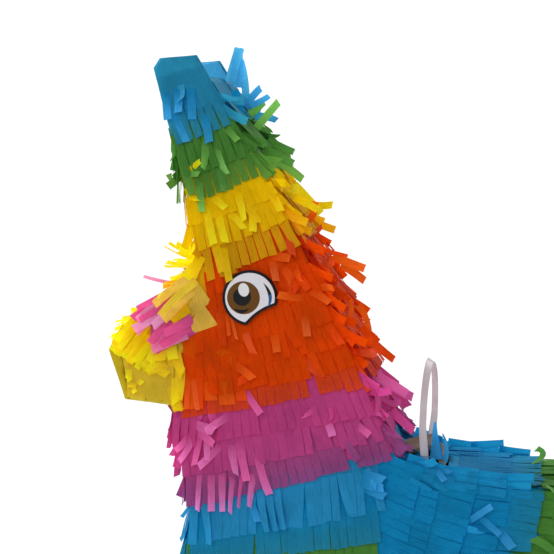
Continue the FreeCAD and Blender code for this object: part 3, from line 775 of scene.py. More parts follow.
def near_eye(x0, z0, x1, z1, angles, length):
    """A test for fringe_row: whether a strip at a share of the row passes under the eye."""
    low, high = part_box("near_eye")
    centre = Vector(((low.x + high.x) / 2, (low.z + high.z) / 2))

    def test(share):
        angle = angles[0] + (angles[1] - angles[0]) * share
        root = Vector((x0, z0)).lerp(Vector((x1, z1)), share) * MM
        way = heading_of(angle)
        for t in (0.0, 0.25, 0.5, 0.75, 1.0):
            point = root + Vector((way.x, way.z)) * length * t
            if (point - centre).length < EYE_REACH:
                return True
        return False
    return test


# name, node, root line (x, z, x, z in mm), angles, length, root and tip tones, wildness, ends
HEAD_ROWS = [
    ("ear_fringe_1", "ear_blue_paper", (-162.2, 531.0, -121.5, 542.7), (16, 26),
     0.020, (EAR_BLUE, EAR_BLUE), 0.22, "cc"),
    ("ear_fringe_2", "ear_blue_paper", (-158.1, 515.2, -115.0, 531.5), (15, 26),
     0.025, (EAR_BLUE, mixed(EAR_BLUE, GREEN, 0.12)), 0.20, "ce"),
    ("green_fringe_1", "head_green_paper", (-150.9, 496.9, -99.1, 513.5), (14, 27),
     0.028, (GREEN, GREEN), 0.24, "ee"),
    ("green_fringe_2", "head_green_paper", (-142.6, 479.0, -91.9, 496.9), (13, 27),
     0.028, (GREEN, mixed(GREEN, YELLOW, 0.05)), 0.22, "ee"),
    ("yellow_fringe_1", "head_yellow_paper", (-140.4, 462.5, -78.9, 483.3),
     (13, 27), 0.028, (YELLOW, YELLOW), 0.20, "ee"),
    ("yellow_fringe_2", "head_yellow_paper", (-134.9, 444.0, -70.0, 465.9),
     (12, 28), 0.028, (YELLOW, mixed(YELLOW, GOLD, 0.25)), 0.20, "ee"),
    ("yellow_fringe_3", "head_yellow_paper", (-128.6, 424.7, -63.9, 450.8),
     (12, 28), 0.029, (GOLD, GOLD), 0.06, "ee"),
    ("orange_fringe_1", "face_orange_paper", (-123.7, 410.8, -55.8, 431.0),
     (10, 28), 0.027, (ORANGE, ORANGE), 0.16, "se"),
    ("orange_fringe_2", "face_orange_paper", (-128.0, 392.0, -47.6, 413.9),
     (8, 28), 0.028, (ORANGE, ORANGE), 0.20, "se"),
    ("orange_fringe_3", "face_orange_paper", (-137.1, 370.9, -39.7, 393.8),
     (6, 28), 0.028, (ORANGE, ORANGE), 0.18, "se"),
    ("orange_fringe_4", "face_orange_paper", (-143.4, 349.3, -32.8, 375.3),
     (4, 27), 0.028, (ORANGE, ORANGE), 0.14, "se"),
    ("orange_fringe_5", "face_orange_paper", (-145.3, 333.3, -28.0, 358.5),
     (2, 27), 0.027, (ORANGE, ORANGE), 0.18, "se"),
    ("orange_fringe_6", "face_orange_paper", (-145.4, 321.8, -23.3, 343.6),
     (1, 26), 0.027, (ORANGE, mixed(ORANGE, PINK, 0.08)), 0.10, "se"),
    ("pink_fringe_1", "neck_pink_paper", (-141.5, 301.2, -13.7, 325.1), (0, 26),
     0.028, (PINK, PINK), 0.16, "ee"),
    ("pink_fringe_2", "neck_pink_paper", (-139.4, 281.3, -8.9, 309.1), (0, 24),
     0.029, (PINK, mixed(PINK, PURPLE, 0.2)), 0.14, "ee"),
    ("pink_fringe_3", "neck_pink_paper", (-137.0, 259.0, -3.0, 290.8), (1, 22),
     0.028, (mixed(PINK, PURPLE, 0.5), PURPLE), 0.08, "ee"),
]

BODY_ROWS = [
    ("shoulder_fringe_1", "shoulder_blue_paper", (-134.3, 234.7, -2.3, 261.0),
     (0, 8), 0.032, (SHOULDER_BLUE, SHOULDER_BLUE), 0.10, "es"),
    ("shoulder_fringe_2", "shoulder_blue_paper", (-137.0, 213.0, -3.0, 236.0),
     (0, 6), 0.029, (BLUE, mixed(BLUE, GREEN, 0.2)), 0.12, "es"),
    ("chest_fringe_1", "chest_green_paper", (-138.0, 193.0, -3.0, 212.0), (0, 5),
     0.028, (GREEN, GREEN), 0.14, "es"),
    ("chest_fringe_2", "chest_green_paper", (-138.0, 173.0, -3.0, 189.0), (0, 4),
     0.029, (GREEN, GREEN), 0.14, "es"),
    ("foreleg_fringe_1", "foreleg_yellow_paper", (-138.0, 152.0, -3.0, 165.0),
     (0, 3), 0.029, (YELLOW, YELLOW), 0.14, "es"),
    ("foreleg_fringe_2", "foreleg_yellow_paper", (-138.0, 130.0, -20.0, 141.0),
     (0, 2), 0.028, (YELLOW, GOLD), 0.14, "es"),
    ("foreleg_fringe_3", "foreleg_orange_paper", (-138.0, 110.0, -53.0, 114.0),
     (0, 0), 0.028, (ORANGE, ORANGE), 0.14, "ee"),
    ("foreleg_fringe_4", "foreleg_orange_paper", (-138.0, 90.0, -53.5, 93.0),
     (0, 0), 0.028, (ORANGE, ORANGE), 0.14, "ee"),
    ("foreleg_fringe_5", "foreleg_pink_paper", (-138.0, 71.0, -54.5, 73.0),
     (0, 0), 0.028, (PINK, PINK), 0.14, "ee"),
    ("foreleg_fringe_6", "foreleg_pink_paper", (-137.5, 52.0, -56.0, 54.0),
     (0, 0), 0.028, (PINK, PURPLE), 0.14, "ee"),
    ("foreleg_fringe_7", "foreleg_blue_paper", (-137.5, 37.0, -57.0, 38.5),
     (0, 0), 0.022, (BLUE, BLUE), 0.12, "ee"),
    ("foreleg_fringe_8", "foreleg_blue_paper", (-137.3, 21.0, -58.0, 22.0),
     (0, 0), 0.018, (BLUE, BLUE), 0.08, "ee"),
    ("hindleg_fringe_1", "hindleg_orange_paper", (81.0, 120.0, 173.5, 124.0),
     (0, 0), 0.028, (ORANGE, ORANGE), 0.14, "ee"),
    ("hindleg_fringe_2", "hindleg_orange_paper", (82.0, 99.0, 173.0, 102.0),
     (0, 0), 0.028, (ORANGE, ORANGE), 0.14, "ee"),
    ("hindleg_fringe_3", "hindleg_pink_paper", (83.5, 79.0, 173.0, 82.0),
     (0, 0), 0.028, (PINK, PINK), 0.14, "ee"),
    ("hindleg_fringe_4", "hindleg_pink_paper", (85.0, 58.0, 172.0, 61.0),
     (0, 0), 0.028, (PINK, PURPLE), 0.14, "ee"),
    ("hindleg_fringe_5", "hindleg_blue_paper", (87.0, 39.5, 171.5, 41.0),
     (0, 0), 0.023, (BLUE, BLUE), 0.12, "ee"),
    ("hindleg_fringe_6", "hindleg_blue_paper", (88.5, 22.0, 171.2, 23.0),
     (0, 0), 0.019, (BLUE, BLUE), 0.08, "ee"),
]


FLAP_HALF = 0.0315  # half the width of the flap, with room round it
SLOT_INNER, SLOT_OUTER = 0.0345, 0.0415  # the loop's slots, with room round them


def by_flap(y, last):
    """Whether a strip on the back would stand in the flap's opening or on the loop's slots."""
    return not last and (abs(y) < FLAP_HALF or SLOT_INNER < abs(y) < SLOT_OUTER)


def by_leaf(y, last):
    """Whether a strip at the foot of the neck would stand in the way of the front leaf."""
    return last and abs(y) < FLAP_HALF


# Columns of fringe on the body, pointing towards the tail: root lines run from the back down.
COLUMN_ROWS = [
    ("back_fringe_1", "back_blue_paper", (7.0, 266.0, -4.0, 216.0), (72, 66),
     0.026, (BLUE, BLUE), 0.30, "es", by_flap),
    ("back_fringe_2", "back_blue_paper", (17.0, 262.0, -4.0, 176.0), (74, 66),
     0.029, (BLUE, BLUE), 0.14, "es", by_flap),
    ("back_fringe_3", "back_blue_paper", (41.0, 254.5, 6.0, 128.5), (78, 72),
     0.029, (BLUE, BLUE), 0.12, "ee", by_flap),
    ("back_fringe_4", "back_blue_paper", (64.0, 252.0, 36.0, 128.5), (82, 78),
     0.030, (BLUE, BLUE), 0.10, "ee", None),
    ("back_fringe_5", "back_blue_paper", (86.0, 249.0, 63.0, 128.5), (86, 83),
     0.030, (BLUE, mixed(BLUE, GREEN, 0.15)), 0.10, "ee", None),
    ("flank_fringe_1", "flank_green_paper", (106.0, 246.0, 94.0, 119.0), (88, 86),
     0.029, (GREEN, GREEN), 0.14, "es", None),
    ("flank_fringe_2", "flank_green_paper", (124.0, 244.0, 118.0, 119.0), (89, 88),
     0.028, (GREEN, GREEN), 0.14, "es", None),
    ("rump_fringe_1", "rump_yellow_paper", (141.0, 241.0, 140.0, 119.0), (90, 90),
     0.027, (YELLOW, GOLD), 0.12, "ss", None),
]

for index, (name, replaced, line, angles, length, tones, wild, ends) in enumerate(
    HEAD_ROWS + BODY_ROWS
):
    calm = None
    if name.startswith(("orange_fringe", "yellow_fringe_3")):
        calm = near_eye(*line, angles, length)
    on_head = index < len(HEAD_ROWS)
    fringe_row(name, replaced, line[:2], line[2:], angles, length, tones, wild, ends, calm,
               y_skip=by_leaf if name in ("pink_fringe_2", "pink_fringe_3") else None,
               stand=0.17 if on_head else 0.08, tuft=4 if on_head else 0)
for name, replaced, line, angles, length, tones, wild, ends, skip in COLUMN_ROWS:
    fringe_row(name, replaced, line[:2], line[2:], angles, length, tones, wild, ends, y_skip=skip)


TAIL_ROOM = 0.015  # half the gap in the rump's rows


def rump_rows():
    """Rows of fringe round the end of the body, with room left for the tail."""
    rng = random.Random("rump")
    paper = Paper()
    for z in (0.234, 0.214, 0.194, 0.174, 0.155):
        distance = outline.crossings(Vector((0.1, z)), Vector((0.3, z)))[-1][1]
        _, tangent = outline.at(distance)
        sense = -1 if tangent.y > 0 else 1
        spot_of = lambda share: bent_spot(distance, sense, -HALF + 2 * HALF * share)
        for low_y, high_y in ((-HALF, -TAIL_ROOM), (TAIL_ROOM, HALF)):
            edge_ribbon(paper, distance, sense, low_y, high_y, 5, HEADER, YELLOW, rng)
        lay_strips(paper, rng, round(2 * HALF / PITCH), spot_of, 0.028, (YELLOW, YELLOW), 0.10,
                   0.006, skip=lambda share: abs(-HALF + 2 * HALF * share) < 0.017, stand=0.05)
        for side in (-1, 1):
            edge_tuft(paper, rng, distance, 0, side, 0.026, (YELLOW, LIT_YELLOW), 2)
    dress(paper.piece("rump_fringe_end", FRINGE), "crepe_yellow")


rump_rows()


def back_edges():
    """Sheets of the back's columns that stand a little past its two long edges."""
    rng = random.Random("back edges")
    paper = Paper()
    columns = ((0.017, 24), (0.030, 24), (0.044, 26), (0.062, 28), (0.084, 26))
    for x, length in columns:
        distance = outline.crossings(Vector((x, 0.1)), Vector((x, 0.4)))[-1][1]
        point, normal = outline.smooth(distance)
        up = upright(normal)
        along = Vector((normal.y, 0.0, -normal.x))
        for side in (-1, 1):
            tilt = rng.uniform(0.0, 0.16)
            for level, height in enumerate((-0.0065, -0.001, 0.0042)):
                root = Vector((point.x, side * (HALF + 0.0014 - 0.0006 * level), point.y))
                root += up * (height + SKIN)
                look = look_for(rng, 0.10, 0.005)
                look["twist"] = 0.0
                # A random tone, mostly lighter, and paler towards the tips: painted light on strips
                # that stand past the back's edges.
                shine = rng.uniform(0.95, 1.12)
                tone = brighter(BLUE, shine)
                way = (along + up * (tilt - 0.02)).normalized()
                strip(paper, rng, flat_spot(root, way, sideways(side)), CUT_WIDTH,
                      length * MM * rng.uniform(0.9, 1.02), look,
                      (tone, mixed(tone, LIT_PALE_BLUE, 0.12)))
    dress(paper.piece("back_edge_fringe", FRINGE), "crepe_blue")


back_edges()

# ------------------------------------------------------------------ single loose strips


def loose(paper, rng, root, heading, out, length, width, tone, curl=0.0, bend=0.0, twist=0.0,
          lift=0.1, taper=0.05, limit=0.012, base_tone=None):
    """One strip that stands out on its own. Angles are in degrees."""
    along = Vector(heading).normalized()
    facing = Vector(out)
    facing = (facing - along * facing.dot(along)).normalized()
    base = Vector(root)

    def spot(distance):
        return base + along * distance, along, facing

    look = {
        "rise": 0.0, "lift": math.radians(lift), "curl": math.radians(curl),
        "lean": 0.0, "bend": math.radians(bend), "twist": math.radians(twist),
        "cup": width * 0.06, "limit": limit, "cut": rng.uniform(-0.0008, 0.0008), "taper": taper,
    }
    # The strip grows lighter towards its free tip: painted light on the end that stands out.
    painted_light = brighter(tone, 1.25, 0.01)
    strip(paper, rng, spot, width, length, look, (base_tone or tone, painted_light))


def backlit_of(tone, share=0.4):
    """The lighter look of a single layer of the same paper with light through it: painted light."""
    return mixed(tone, brighter(tone, 1.5, 0.16), share)


NEAR = (0.0, -1.0, 0.0)
FACE = HALF + 0.0014  # where loose strips on the near side start, among the rows
BASES = {"crepe_blue": BLUE, "crepe_green": GREEN, "crepe_yellow": YELLOW,
         "crepe_orange": ORANGE, "crepe_pink": PINK}
# Painted light: lighter copies of the papers, for strips that stand out and catch the light.
LIT_BLUE = (0.045, 0.370, 0.720)
LIT_GREEN = (0.20, 0.52, 0.09)
LIT_ORANGE = (0.86, 0.13, 0.006)
LIT_PINK = (0.80, 0.15, 0.44)

# Loose strips on the near side: x, z, angle, length, width (mm), lift, curl, bend, twist, colour.
SIDE_STRIPS = {
    "ear_loose": ("crepe_blue", [
        (-151, 516, 27, 24, 5.6, 6, 10, 0, 25, LIT_BLUE),
        (-147, 533, 4, 19, 6.5, 12, 30, 4, -20, LIT_BLUE),
        (-156, 530, 2, 20, 6.0, 8, 15, -6, 10, LIT_BLUE),
        (-138, 533, 6, 22, 6.5, 8, -6, 4, 0, backlit_of(BLUE, 0.12)),
        (-129, 515, 22, 22, 6.5, 10, 12, 14, -10, backlit_of(BLUE, 0.16)),
    ]),
    "green_loose": ("crepe_green", [
        (-127, 497, 2, 24, 6.0, 14, 26, 12, 60, LIT_GREEN),
        (-120, 492, 14, 22, 6.0, 16, -40, -16, -40, backlit_of(LIT_GREEN, 0.3)),
        (-118, 478, 17, 20, 5.6, 10, 14, 6, 50, backlit_of(GREEN, 0.12)),
        (-142, 471, 108, 12, 4.5, 20, 10, 20, 30, LIT_GREEN),
        (-133, 468, 12, 24, 6.0, 8, 8, 6, -30, LIT_GREEN),
        (-112, 505, 40, 16, 5.0, 18, 40, -10, 20, LIT_GREEN),
    ]),
    "yellow_loose": ("crepe_yellow", [
        (-139, 475, 128, 12, 4.6, 20, 10, 0, 30, LIT_YELLOW),
        (-122, 456, 40, 15, 6.0, 14, 30, -20, 40, LIT_YELLOW),
        (-104, 459, 18, 24, 6.0, 16, 24, 6, -40, LIT_YELLOW),
        (-94, 450, 10, 22, 6.0, 14, 30, 10, 30, LIT_YELLOW),
        (-110, 444, 62, 16, 5.0, 20, -20, 30, 20, LIT_YELLOW),
        (-128, 450, 14, 30, 6.0, 8, 6, 0, 10, LIT_YELLOW),
        (-119, 446, 16, 26, 6.0, 12, 20, 0, 30, LIT_YELLOW),
        (-83, 466, 30, 24, 6.0, 10, 10, 4, 10, YELLOW),
        (-121, 424, 14, 24, 6.0, 8, 10, -2, 20, mixed(GOLD, LIT_YELLOW, 0.4)),
        (-115, 419, 14, 26, 6.0, 10, 14, 2, -20, mixed(GOLD, LIT_YELLOW, 0.4)),
    ]),
    "orange_loose": ("crepe_orange", [
        (-80, 414, 78, 17, 6.5, 14, 30, -10, 20, LIT_ORANGE),
        (-79, 411, 12, 18, 6.0, 16, 24, 0, 40, backlit_of(LIT_ORANGE, 0.12)),
        (-71, 407, 40, 20, 6.5, 24, -60, 30, 60, LIT_ORANGE),
        (-64, 405, 30, 18, 6.0, 30, 50, -30, -60, LIT_ORANGE),
        (-60, 399, -10, 16, 6.0, 20, 60, 20, 40, ORANGE),
        (-56, 383, -96, 20, 6.0, 10, 14, 4, 10, LIT_ORANGE),
        (-52, 389, 66, 20, 6.0, 18, 20, 10, 40, LIT_ORANGE),
        (-45, 391, 100, 14, 5.5, 24, 30, 20, -40, LIT_ORANGE),
        (-56, 372, 10, 18, 6.0, 12, 20, 0, 20, backlit_of(LIT_ORANGE, 0.1)),
        (-78, 358, 14, 16, 6.0, 12, 26, 4, 10, LIT_ORANGE),
        (-113, 374, 14, 20, 3.0, 14, 14, 8, 30, LIT_ORANGE),
        (-110, 372, 20, 22, 2.6, 16, 20, 6, 40, backlit_of(LIT_ORANGE, 0.14)),
        (-106, 334, 62, 20, 6.0, 22, 20, 10, 20, LIT_ORANGE),
        (-92, 331, -46, 18, 6.0, 18, 30, 10, 30, ORANGE),
        (-125, 318, 60, 9, 4.0, 30, 60, 20, 40, LIT_ORANGE),
        (-122, 320, -30, 10, 3.5, 30, 50, 20, 60, LIT_ORANGE),
        (-141, 330, 2, 30, 4.0, 10, 16, 4, 20, LIT_ORANGE),
        (-137, 329, 6, 30, 4.6, 14, 12, -4, -30, backlit_of(LIT_ORANGE, 0.1)),
        (-132, 332, 5, 32, 4.0, 10, 20, 4, 20, ORANGE),
        (-41, 367, 40, 24, 6.0, 18, 20, 4, 20, ORANGE),
    ]),
    "pink_loose": ("crepe_pink", [
        (-100, 316, 40, 23, 5.5, 14, 12, 4, 10, LIT_PINK),
        (-138, 290, 84, 22, 7.5, 24, 20, 10, 20, backlit_of(LIT_PINK, 0.25)),
        (-136, 286, 70, 24, 6.5, 26, 30, 24, -30, LIT_PINK),
        (-112, 296, -62, 22, 6.0, 22, 20, -10, 20, backlit_of(LIT_PINK, 0.3)),
        (-139, 284, -26, 22, 5.0, 26, 30, 26, 20, LIT_PINK),
        (-136, 283, -18, 26, 5.0, 20, 20, 20, 30, backlit_of(LIT_PINK, 0.2)),
        (-132, 283, -6, 26, 5.0, 24, 10, 6, -30, LIT_PINK),
        (-127, 284, 6, 24, 5.0, 26, 20, 6, 40, backlit_of(LIT_PINK, 0.3)),
        (-117, 275, -42, 25, 6.0, 18, 20, 6, 20, backlit_of(LIT_PINK, 0.25)),
        (-109, 276, 8, 26, 6.0, 20, 24, -6, 60, backlit_of(LIT_PINK, 0.35)),
        (-104, 278, 16, 30, 6.0, 10, 8, 4, 20, LIT_PINK),
        (-90, 272, 6, 34, 6.0, 8, 8, -18, 10, backlit_of(LIT_PINK, 0.12)),
        (-40, 297, 24, 16, 6.0, 16, 20, 4, 10, backlit_of(LIT_PINK, 0.3)),
        (-48, 304, -34, 18, 4.0, 26, 60, 50, 60, LIT_PINK),
        (-38, 306, 30, 18, 4.0, 24, 60, 40, -60, PINK),
        (-18, 292, 60, 14, 5.5, 18, 20, 10, 20, LIT_PINK),
        (-132, 256, -4, 30, 4.0, 12, 10, -2, 40, backlit_of(LIT_PINK, 0.4)),
        (-124, 256, 3, 30, 5.5, 10, 8, 2, 20, backlit_of(LIT_PINK, 0.25)),
        (-116, 255, 2, 29, 5.5, 10, 8, 0, -30, backlit_of(LIT_PINK, 0.35)),
        (-108, 254, -5, 30, 4.0, 16, 10, -4, 50, backlit_of(LIT_PINK, 0.4)),
        (-101, 256, -7, 28, 3.0, 16, 10, -4, 60, LIT_PINK),
        (-92, 256, -12, 27, 5.5, 14, 10, -8, 60, backlit_of(LIT_PINK, 0.45)),
    ]),
    "body_loose": ("crepe_blue", [
        (-95, 234, 24, 16, 5.5, 12, 12, 2, 20, LIT_BLUE),
        (-14, 256, 84, 20, 7.0, 22, 20, 10, 30, LIT_BLUE),
        (-15, 250, 74, 22, 7.0, 24, 24, -12, -20, LIT_BLUE),
        (-12, 246, 62, 20, 6.0, 20, 30, -20, 30, backlit_of(BLUE, 0.2)),
        (61, 222, 128, 26, 5.0, 18, 12, 2, 20, LIT_BLUE),
        (84, 218, 40, 18, 7.0, 14, 14, 0, 20, LIT_BLUE),
        (70, 228, 48, 22, 5.0, 14, 12, -4, 30, backlit_of(BLUE, 0.15)),
        (38, 262, 46, 14, 5.0, 20, 20, 10, 30, LIT_BLUE),
        (42, 260, 100, 12, 4.0, 20, 60, 40, 30, backlit_of(BLUE, 0.2)),
    ]),
}

# Loose strips that stand out past the edges: place (mm), heading, length, width, curl,
# bend, twist, colour. They leave the strips between the panels, or the far side.
EDGE_STRIPS = {
    "far_ear_loose": ("crepe_blue", [
        ((-121, 20, 540), (0.26, 0.0, 1.0), 27, 8.0, 10, 4, 10, LIT_PALE_BLUE),
        ((-116, 24, 536), (0.10, 0.05, 1.0), 30, 7.0, 14, -6, -10, LIT_PALE_BLUE),
        ((-110, 28, 529), (0.02, 0.0, 1.0), 28, 6.0, 10, -14, 20, LIT_PALE_BLUE),
        ((-108, 10, 521), (0.5, -0.1, 0.9), 20, 6.0, 20, 20, 20, LIT_BLUE),
        ((-103, 0, 522), (0.95, 0.1, 0.25), 16, 5.0, 10, -20, 30, LIT_BLUE),
        ((-101, 12, 514), (1.0, 0.0, 0.1), 18, 6.0, 20, 30, 40, LIT_BLUE),
        ((-112, -20, 533), (0.35, -0.2, -0.9), 24, 6.0, 16, 10, 30, BLUE),
    ]),
    "green_edge": ("crepe_green", [
        ((-97, -10, 505), (0.62, 0.0, 0.78), 26, 6.0, 8, 4, 10, LIT_GREEN),
        ((-106, 10, 513), (0.66, 0.0, 0.75), 18, 6.0, 16, 10, 20, LIT_GREEN),
        ((-92, 20, 496), (0.85, 0.1, -0.5), 22, 6.0, 10, -10, 30, GREEN),
        ((-88, -30, 490), (0.9, 0.0, -0.55), 24, 6.5, 12, -6, 10, GREEN),
        ((-84, 0, 482), (0.86, 0.0, -0.55), 26, 6.5, 10, 6, 20, LIT_GREEN),
        # Painted light: these light greens are lit copies for strips standing past the edge.
        ((-147, 10, 490), (-0.02, 0.0, -1.0), 24, 5.0, 10, 4, 20, (0.30, 0.72, 0.14)),
        ((-144, 30, 478), (-0.06, 0.0, -1.0), 26, 5.5, 12, -4, 30, (0.30, 0.72, 0.14)),
        ((-146, -30, 474), (-0.30, 0.1, -0.9), 10, 4.0, 30, 30, 30, (0.28, 0.66, 0.12)),
    ]),
    "yellow_edge": ("crepe_yellow", [
        ((-138, 20, 464), (-0.04, 0.0, -1.0), 30, 5.5, 10, 4, 20, LIT_YELLOW),
        ((-136, -20, 452), (-0.12, 0.0, -1.0), 30, 5.5, 12, 6, -20, LIT_YELLOW),
        ((-134, 34, 442), (-0.10, 0.0, -1.0), 30, 6.0, 8, 0, 20, LIT_YELLOW),
        ((-132, 5, 430), (-0.14, 0.0, -1.0), 28, 6.0, 12, 4, 10, LIT_YELLOW),
        ((-131, -40, 424), (-0.16, 0.0, -1.0), 22, 6.0, 10, -6, 20, LIT_YELLOW),
        ((-70, 0, 463), (0.72, 0.0, -0.70), 30, 6.5, 6, 4, 10, LIT_YELLOW),
        ((-66, -40, 455), (0.92, -0.1, -0.35), 22, 6.0, 20, 10, 30, YELLOW),
        ((-62, 24, 447), (0.98, 0.0, -0.2), 20, 6.0, 20, -20, 20, YELLOW),
    ]),
    "orange_edge": ("crepe_orange", [
        ((-57, -20, 437), (0.72, 0.0, 0.62), 16, 5.5, 20, -50, 20, LIT_ORANGE),
        ((-46, -30, 417), (0.94, 0.0, -0.34), 20, 2.5, 10, -8, 20, ORANGE),
        ((-40, -10, 410), (0.92, 0.0, -0.38), 26, 6.5, 10, -4, 10, LIT_ORANGE),
        ((-36, 20, 402), (0.86, 0.1, -0.5), 22, 6.5, 12, 8, 20, LIT_ORANGE),
        ((-26, -24, 379), (0.5, 0.0, -0.86), 30, 3.4, 10, 84, 30, LIT_ORANGE),
        ((-22, 12, 372), (0.62, 0.0, -0.78), 24, 5.0, 16, 30, 20, LIT_ORANGE),
        ((-18, -16, 358), (0.7, 0.0, -0.7), 24, 6.0, 10, 10, 10, ORANGE),
        ((-12, 16, 344), (0.7, 0.0, -0.7), 22, 6.0, 14, -10, 20, ORANGE),
    ]),
    "pink_edge": ("crepe_pink", [
        ((-6, -20, 322), (0.9, 0.0, -0.44), 26, 7.0, 8, 6, 10, LIT_PINK),
        ((-3, 0, 316), (0.86, 0.0, -0.52), 26, 7.0, 10, -6, 10, LIT_PINK),
        ((0, 20, 309), (0.8, 0.0, -0.6), 22, 6.0, 14, 10, 20, PINK),
        ((6, -44, 300), (0.72, 0.0, -0.7), 22, 6.5, 10, -4, 10, PINK),
    ]),
}


def edge_paper(seed, strips, taper=0.05):
    """Loose strips, each with a place and a heading of its own."""
    rng = random.Random(seed)
    paper = Paper()
    for place, heading, length, width, curl, bend, twist, tone in strips:
        loose(paper, rng, Vector(place) * MM, heading, NEAR, length * MM, width * MM, tone, curl,
              bend, twist, lift=3, taper=taper)
    return paper


def loose_pieces():
    for name, (slot, strips) in SIDE_STRIPS.items():
        rng = random.Random(name)
        paper = Paper()
        for x, z, angle, length, width, lift, curl, bend, twist, tone in strips:
            loose(paper, rng, Vector((x, -FACE / MM, z)) * MM, heading_of(angle), NEAR,
                  length * MM, width * MM, tone, curl, bend, twist, lift=lift + 3, limit=0.0075,
                  base_tone=mixed(BASES[slot], tone, 0.15))
        dress(paper.piece(name, FRINGE), slot)
    for name, (slot, strips) in EDGE_STRIPS.items():
        dress(edge_paper(name, strips).piece(name, FRINGE), slot)


loose_pieces()

# ------------------------------------------------------------------ glued paper under the fringe

# The paper that each band is glued on: colour, and the way its creases run.
WRAPS = {
    "ear_blue_paper": (EAR_BLUE, 18), "head_green_paper": (GREEN, 20),
    "head_yellow_paper": (YELLOW, 20), "face_orange_paper": (ORANGE, 12),
    "neck_pink_paper": (PINK, 12), "shoulder_blue_paper": (BLUE, 4),
    "chest_green_paper": (GREEN, 0), "foreleg_yellow_paper": (YELLOW, 0),
    "foreleg_orange_paper": (ORANGE, 0), "foreleg_pink_paper": (PINK, 0),
    "foreleg_blue_paper": (BLUE, 0), "hindleg_orange_paper": (ORANGE, 0),
    "hindleg_pink_paper": (PINK, 0), "hindleg_blue_paper": (BLUE, 0),
    "back_blue_paper": (BLUE, 80), "flank_green_paper": (GREEN, 88),
    "rump_yellow_paper": (YELLOW, 90), "muzzle_gold_paper": (GOLD, -40),
    "muzzle_pink_paper": (PINK, -50), "muzzle_yellow_paper": (YELLOW, -50),
    # The nose wrap's yellow is darkened towards olive: painted shade.
    "nose_wrap_paper": (mixed(YELLOW, (0.42, 0.36, 0.03), 0.55), -60),
}


SHADED_UNDERSIDE = (0.80, 0.60, 0.040)  # the muzzle's underside below a height: its plain yellow paper darkened, painted shade
UNDERSIDES = {
    "muzzle_gold_paper": (SHADED_UNDERSIDE, 0.352), "muzzle_pink_paper": (SHADED_UNDERSIDE, 0.349),
    "muzzle_yellow_paper": (SHADED_UNDERSIDE, 0.338),
}


def wrapped(name, replaced, slot, tone, angle, material, longest=0.008, sink=0.0005, ripple=60.0,
            cover=0.0):
    """A CAD paper band as a creased sheet: finely divided, pressed in here and there."""
    made_mesh = nodes[replaced].data.copy()
    made_mesh.name = name
    bm = bmesh.new()
    bm.from_mesh(made_mesh)
    bmesh.ops.remove_doubles(bm, verts=bm.verts, dist=1e-6)
    bmesh.ops.dissolve_limit(bm, angle_limit=0.002, verts=bm.verts, edges=bm.edges)
    bmesh.ops.triangulate(bm, faces=bm.faces)
    for _ in range(7):
        long = [e for e in bm.edges if e.calc_length() > longest]
        if not long:
            break
        bmesh.ops.subdivide_edges(bm, edges=long, cuts=1)
        bmesh.ops.triangulate(bm, faces=[f for f in bm.faces if len(f.verts) > 3])
    bm.normal_update()
    for vertex in bm.verts:
        depth = 0.5 + 0.5 * noise.noise(vertex.co * ripple) + 0.3 * noise.noise(vertex.co * 210.0)
        vertex.co -= vertex.normal * (sink * min(1.0, max(0.0, depth)) - cover)
    way = heading_of(angle)
    cross = Vector((way.z, 0.0, -way.x))
    layer = bm.loops.layers.uv.new("crepe")
    for face in bm.faces:
        flat = abs(face.normal.y) > 0.6
        for loop in face.loops:
            co = loop.vert.co
            across = co.dot(cross) if flat else co.y
            loop[layer].uv = (across, co.dot(way))
        face.smooth = True
    bm.to_mesh(made_mesh)
    bm.free()
    made_mesh.materials.clear()
    made_mesh.materials.append(material)
    colour = made_mesh.attributes.new("tint", "FLOAT_COLOR", "POINT")
    # Below the given height the tint turns to the darker underside colour: painted shade.
    low_tone = UNDERSIDES.get(replaced, (tone, -1.0))
    for index, vertex in enumerate(made_mesh.vertices):
        factor = 1 + 0.12 * noise.noise(vertex.co * 30.0)
        own = low_tone[0] if vertex.co.z < low_tone[1] else tone
        colour.data[index].color = (*brighter(own, factor), 1.0)
    made_mesh.set_sharp_from_angle(angle=math.radians(40))
    return dress(added(name, made_mesh), slot, *([] if cover else [replaced]))


for replaced, (tone, angle) in WRAPS.items():
    wrapped(replaced.replace("_paper", "_wrap"), replaced, slot_of(replaced), tone, angle, WRAP)
# The ear insides take the lit pale blue: painted light on their inner faces.
for replaced in ("near_ear_lining", "far_ear_lining"):
    wrapped(replaced.replace("lining", "inside"), replaced, slot_of(replaced), LIT_PALE_BLUE, 20, WRAP,
            longest=0.003, sink=-0.0012, ripple=150.0)

wrapped("crown_cover", "crown_strip", "crepe_blue", BLUE, 20, WRAP, longest=0.006, sink=0.0008,
        ripple=90.0, cover=0.0011)

# ------------------------------------------------------------------ board, plates and staples

for name, thing in nodes.items():
    if slot_of(name) == "raw_board":
        thing.data.materials.clear()
        thing.data.materials.append(BOARD)

# ------------------------------------------------------------------ muzzle


SHEET_DOME = 0.0018
SHEET_WAVE = 0.0010


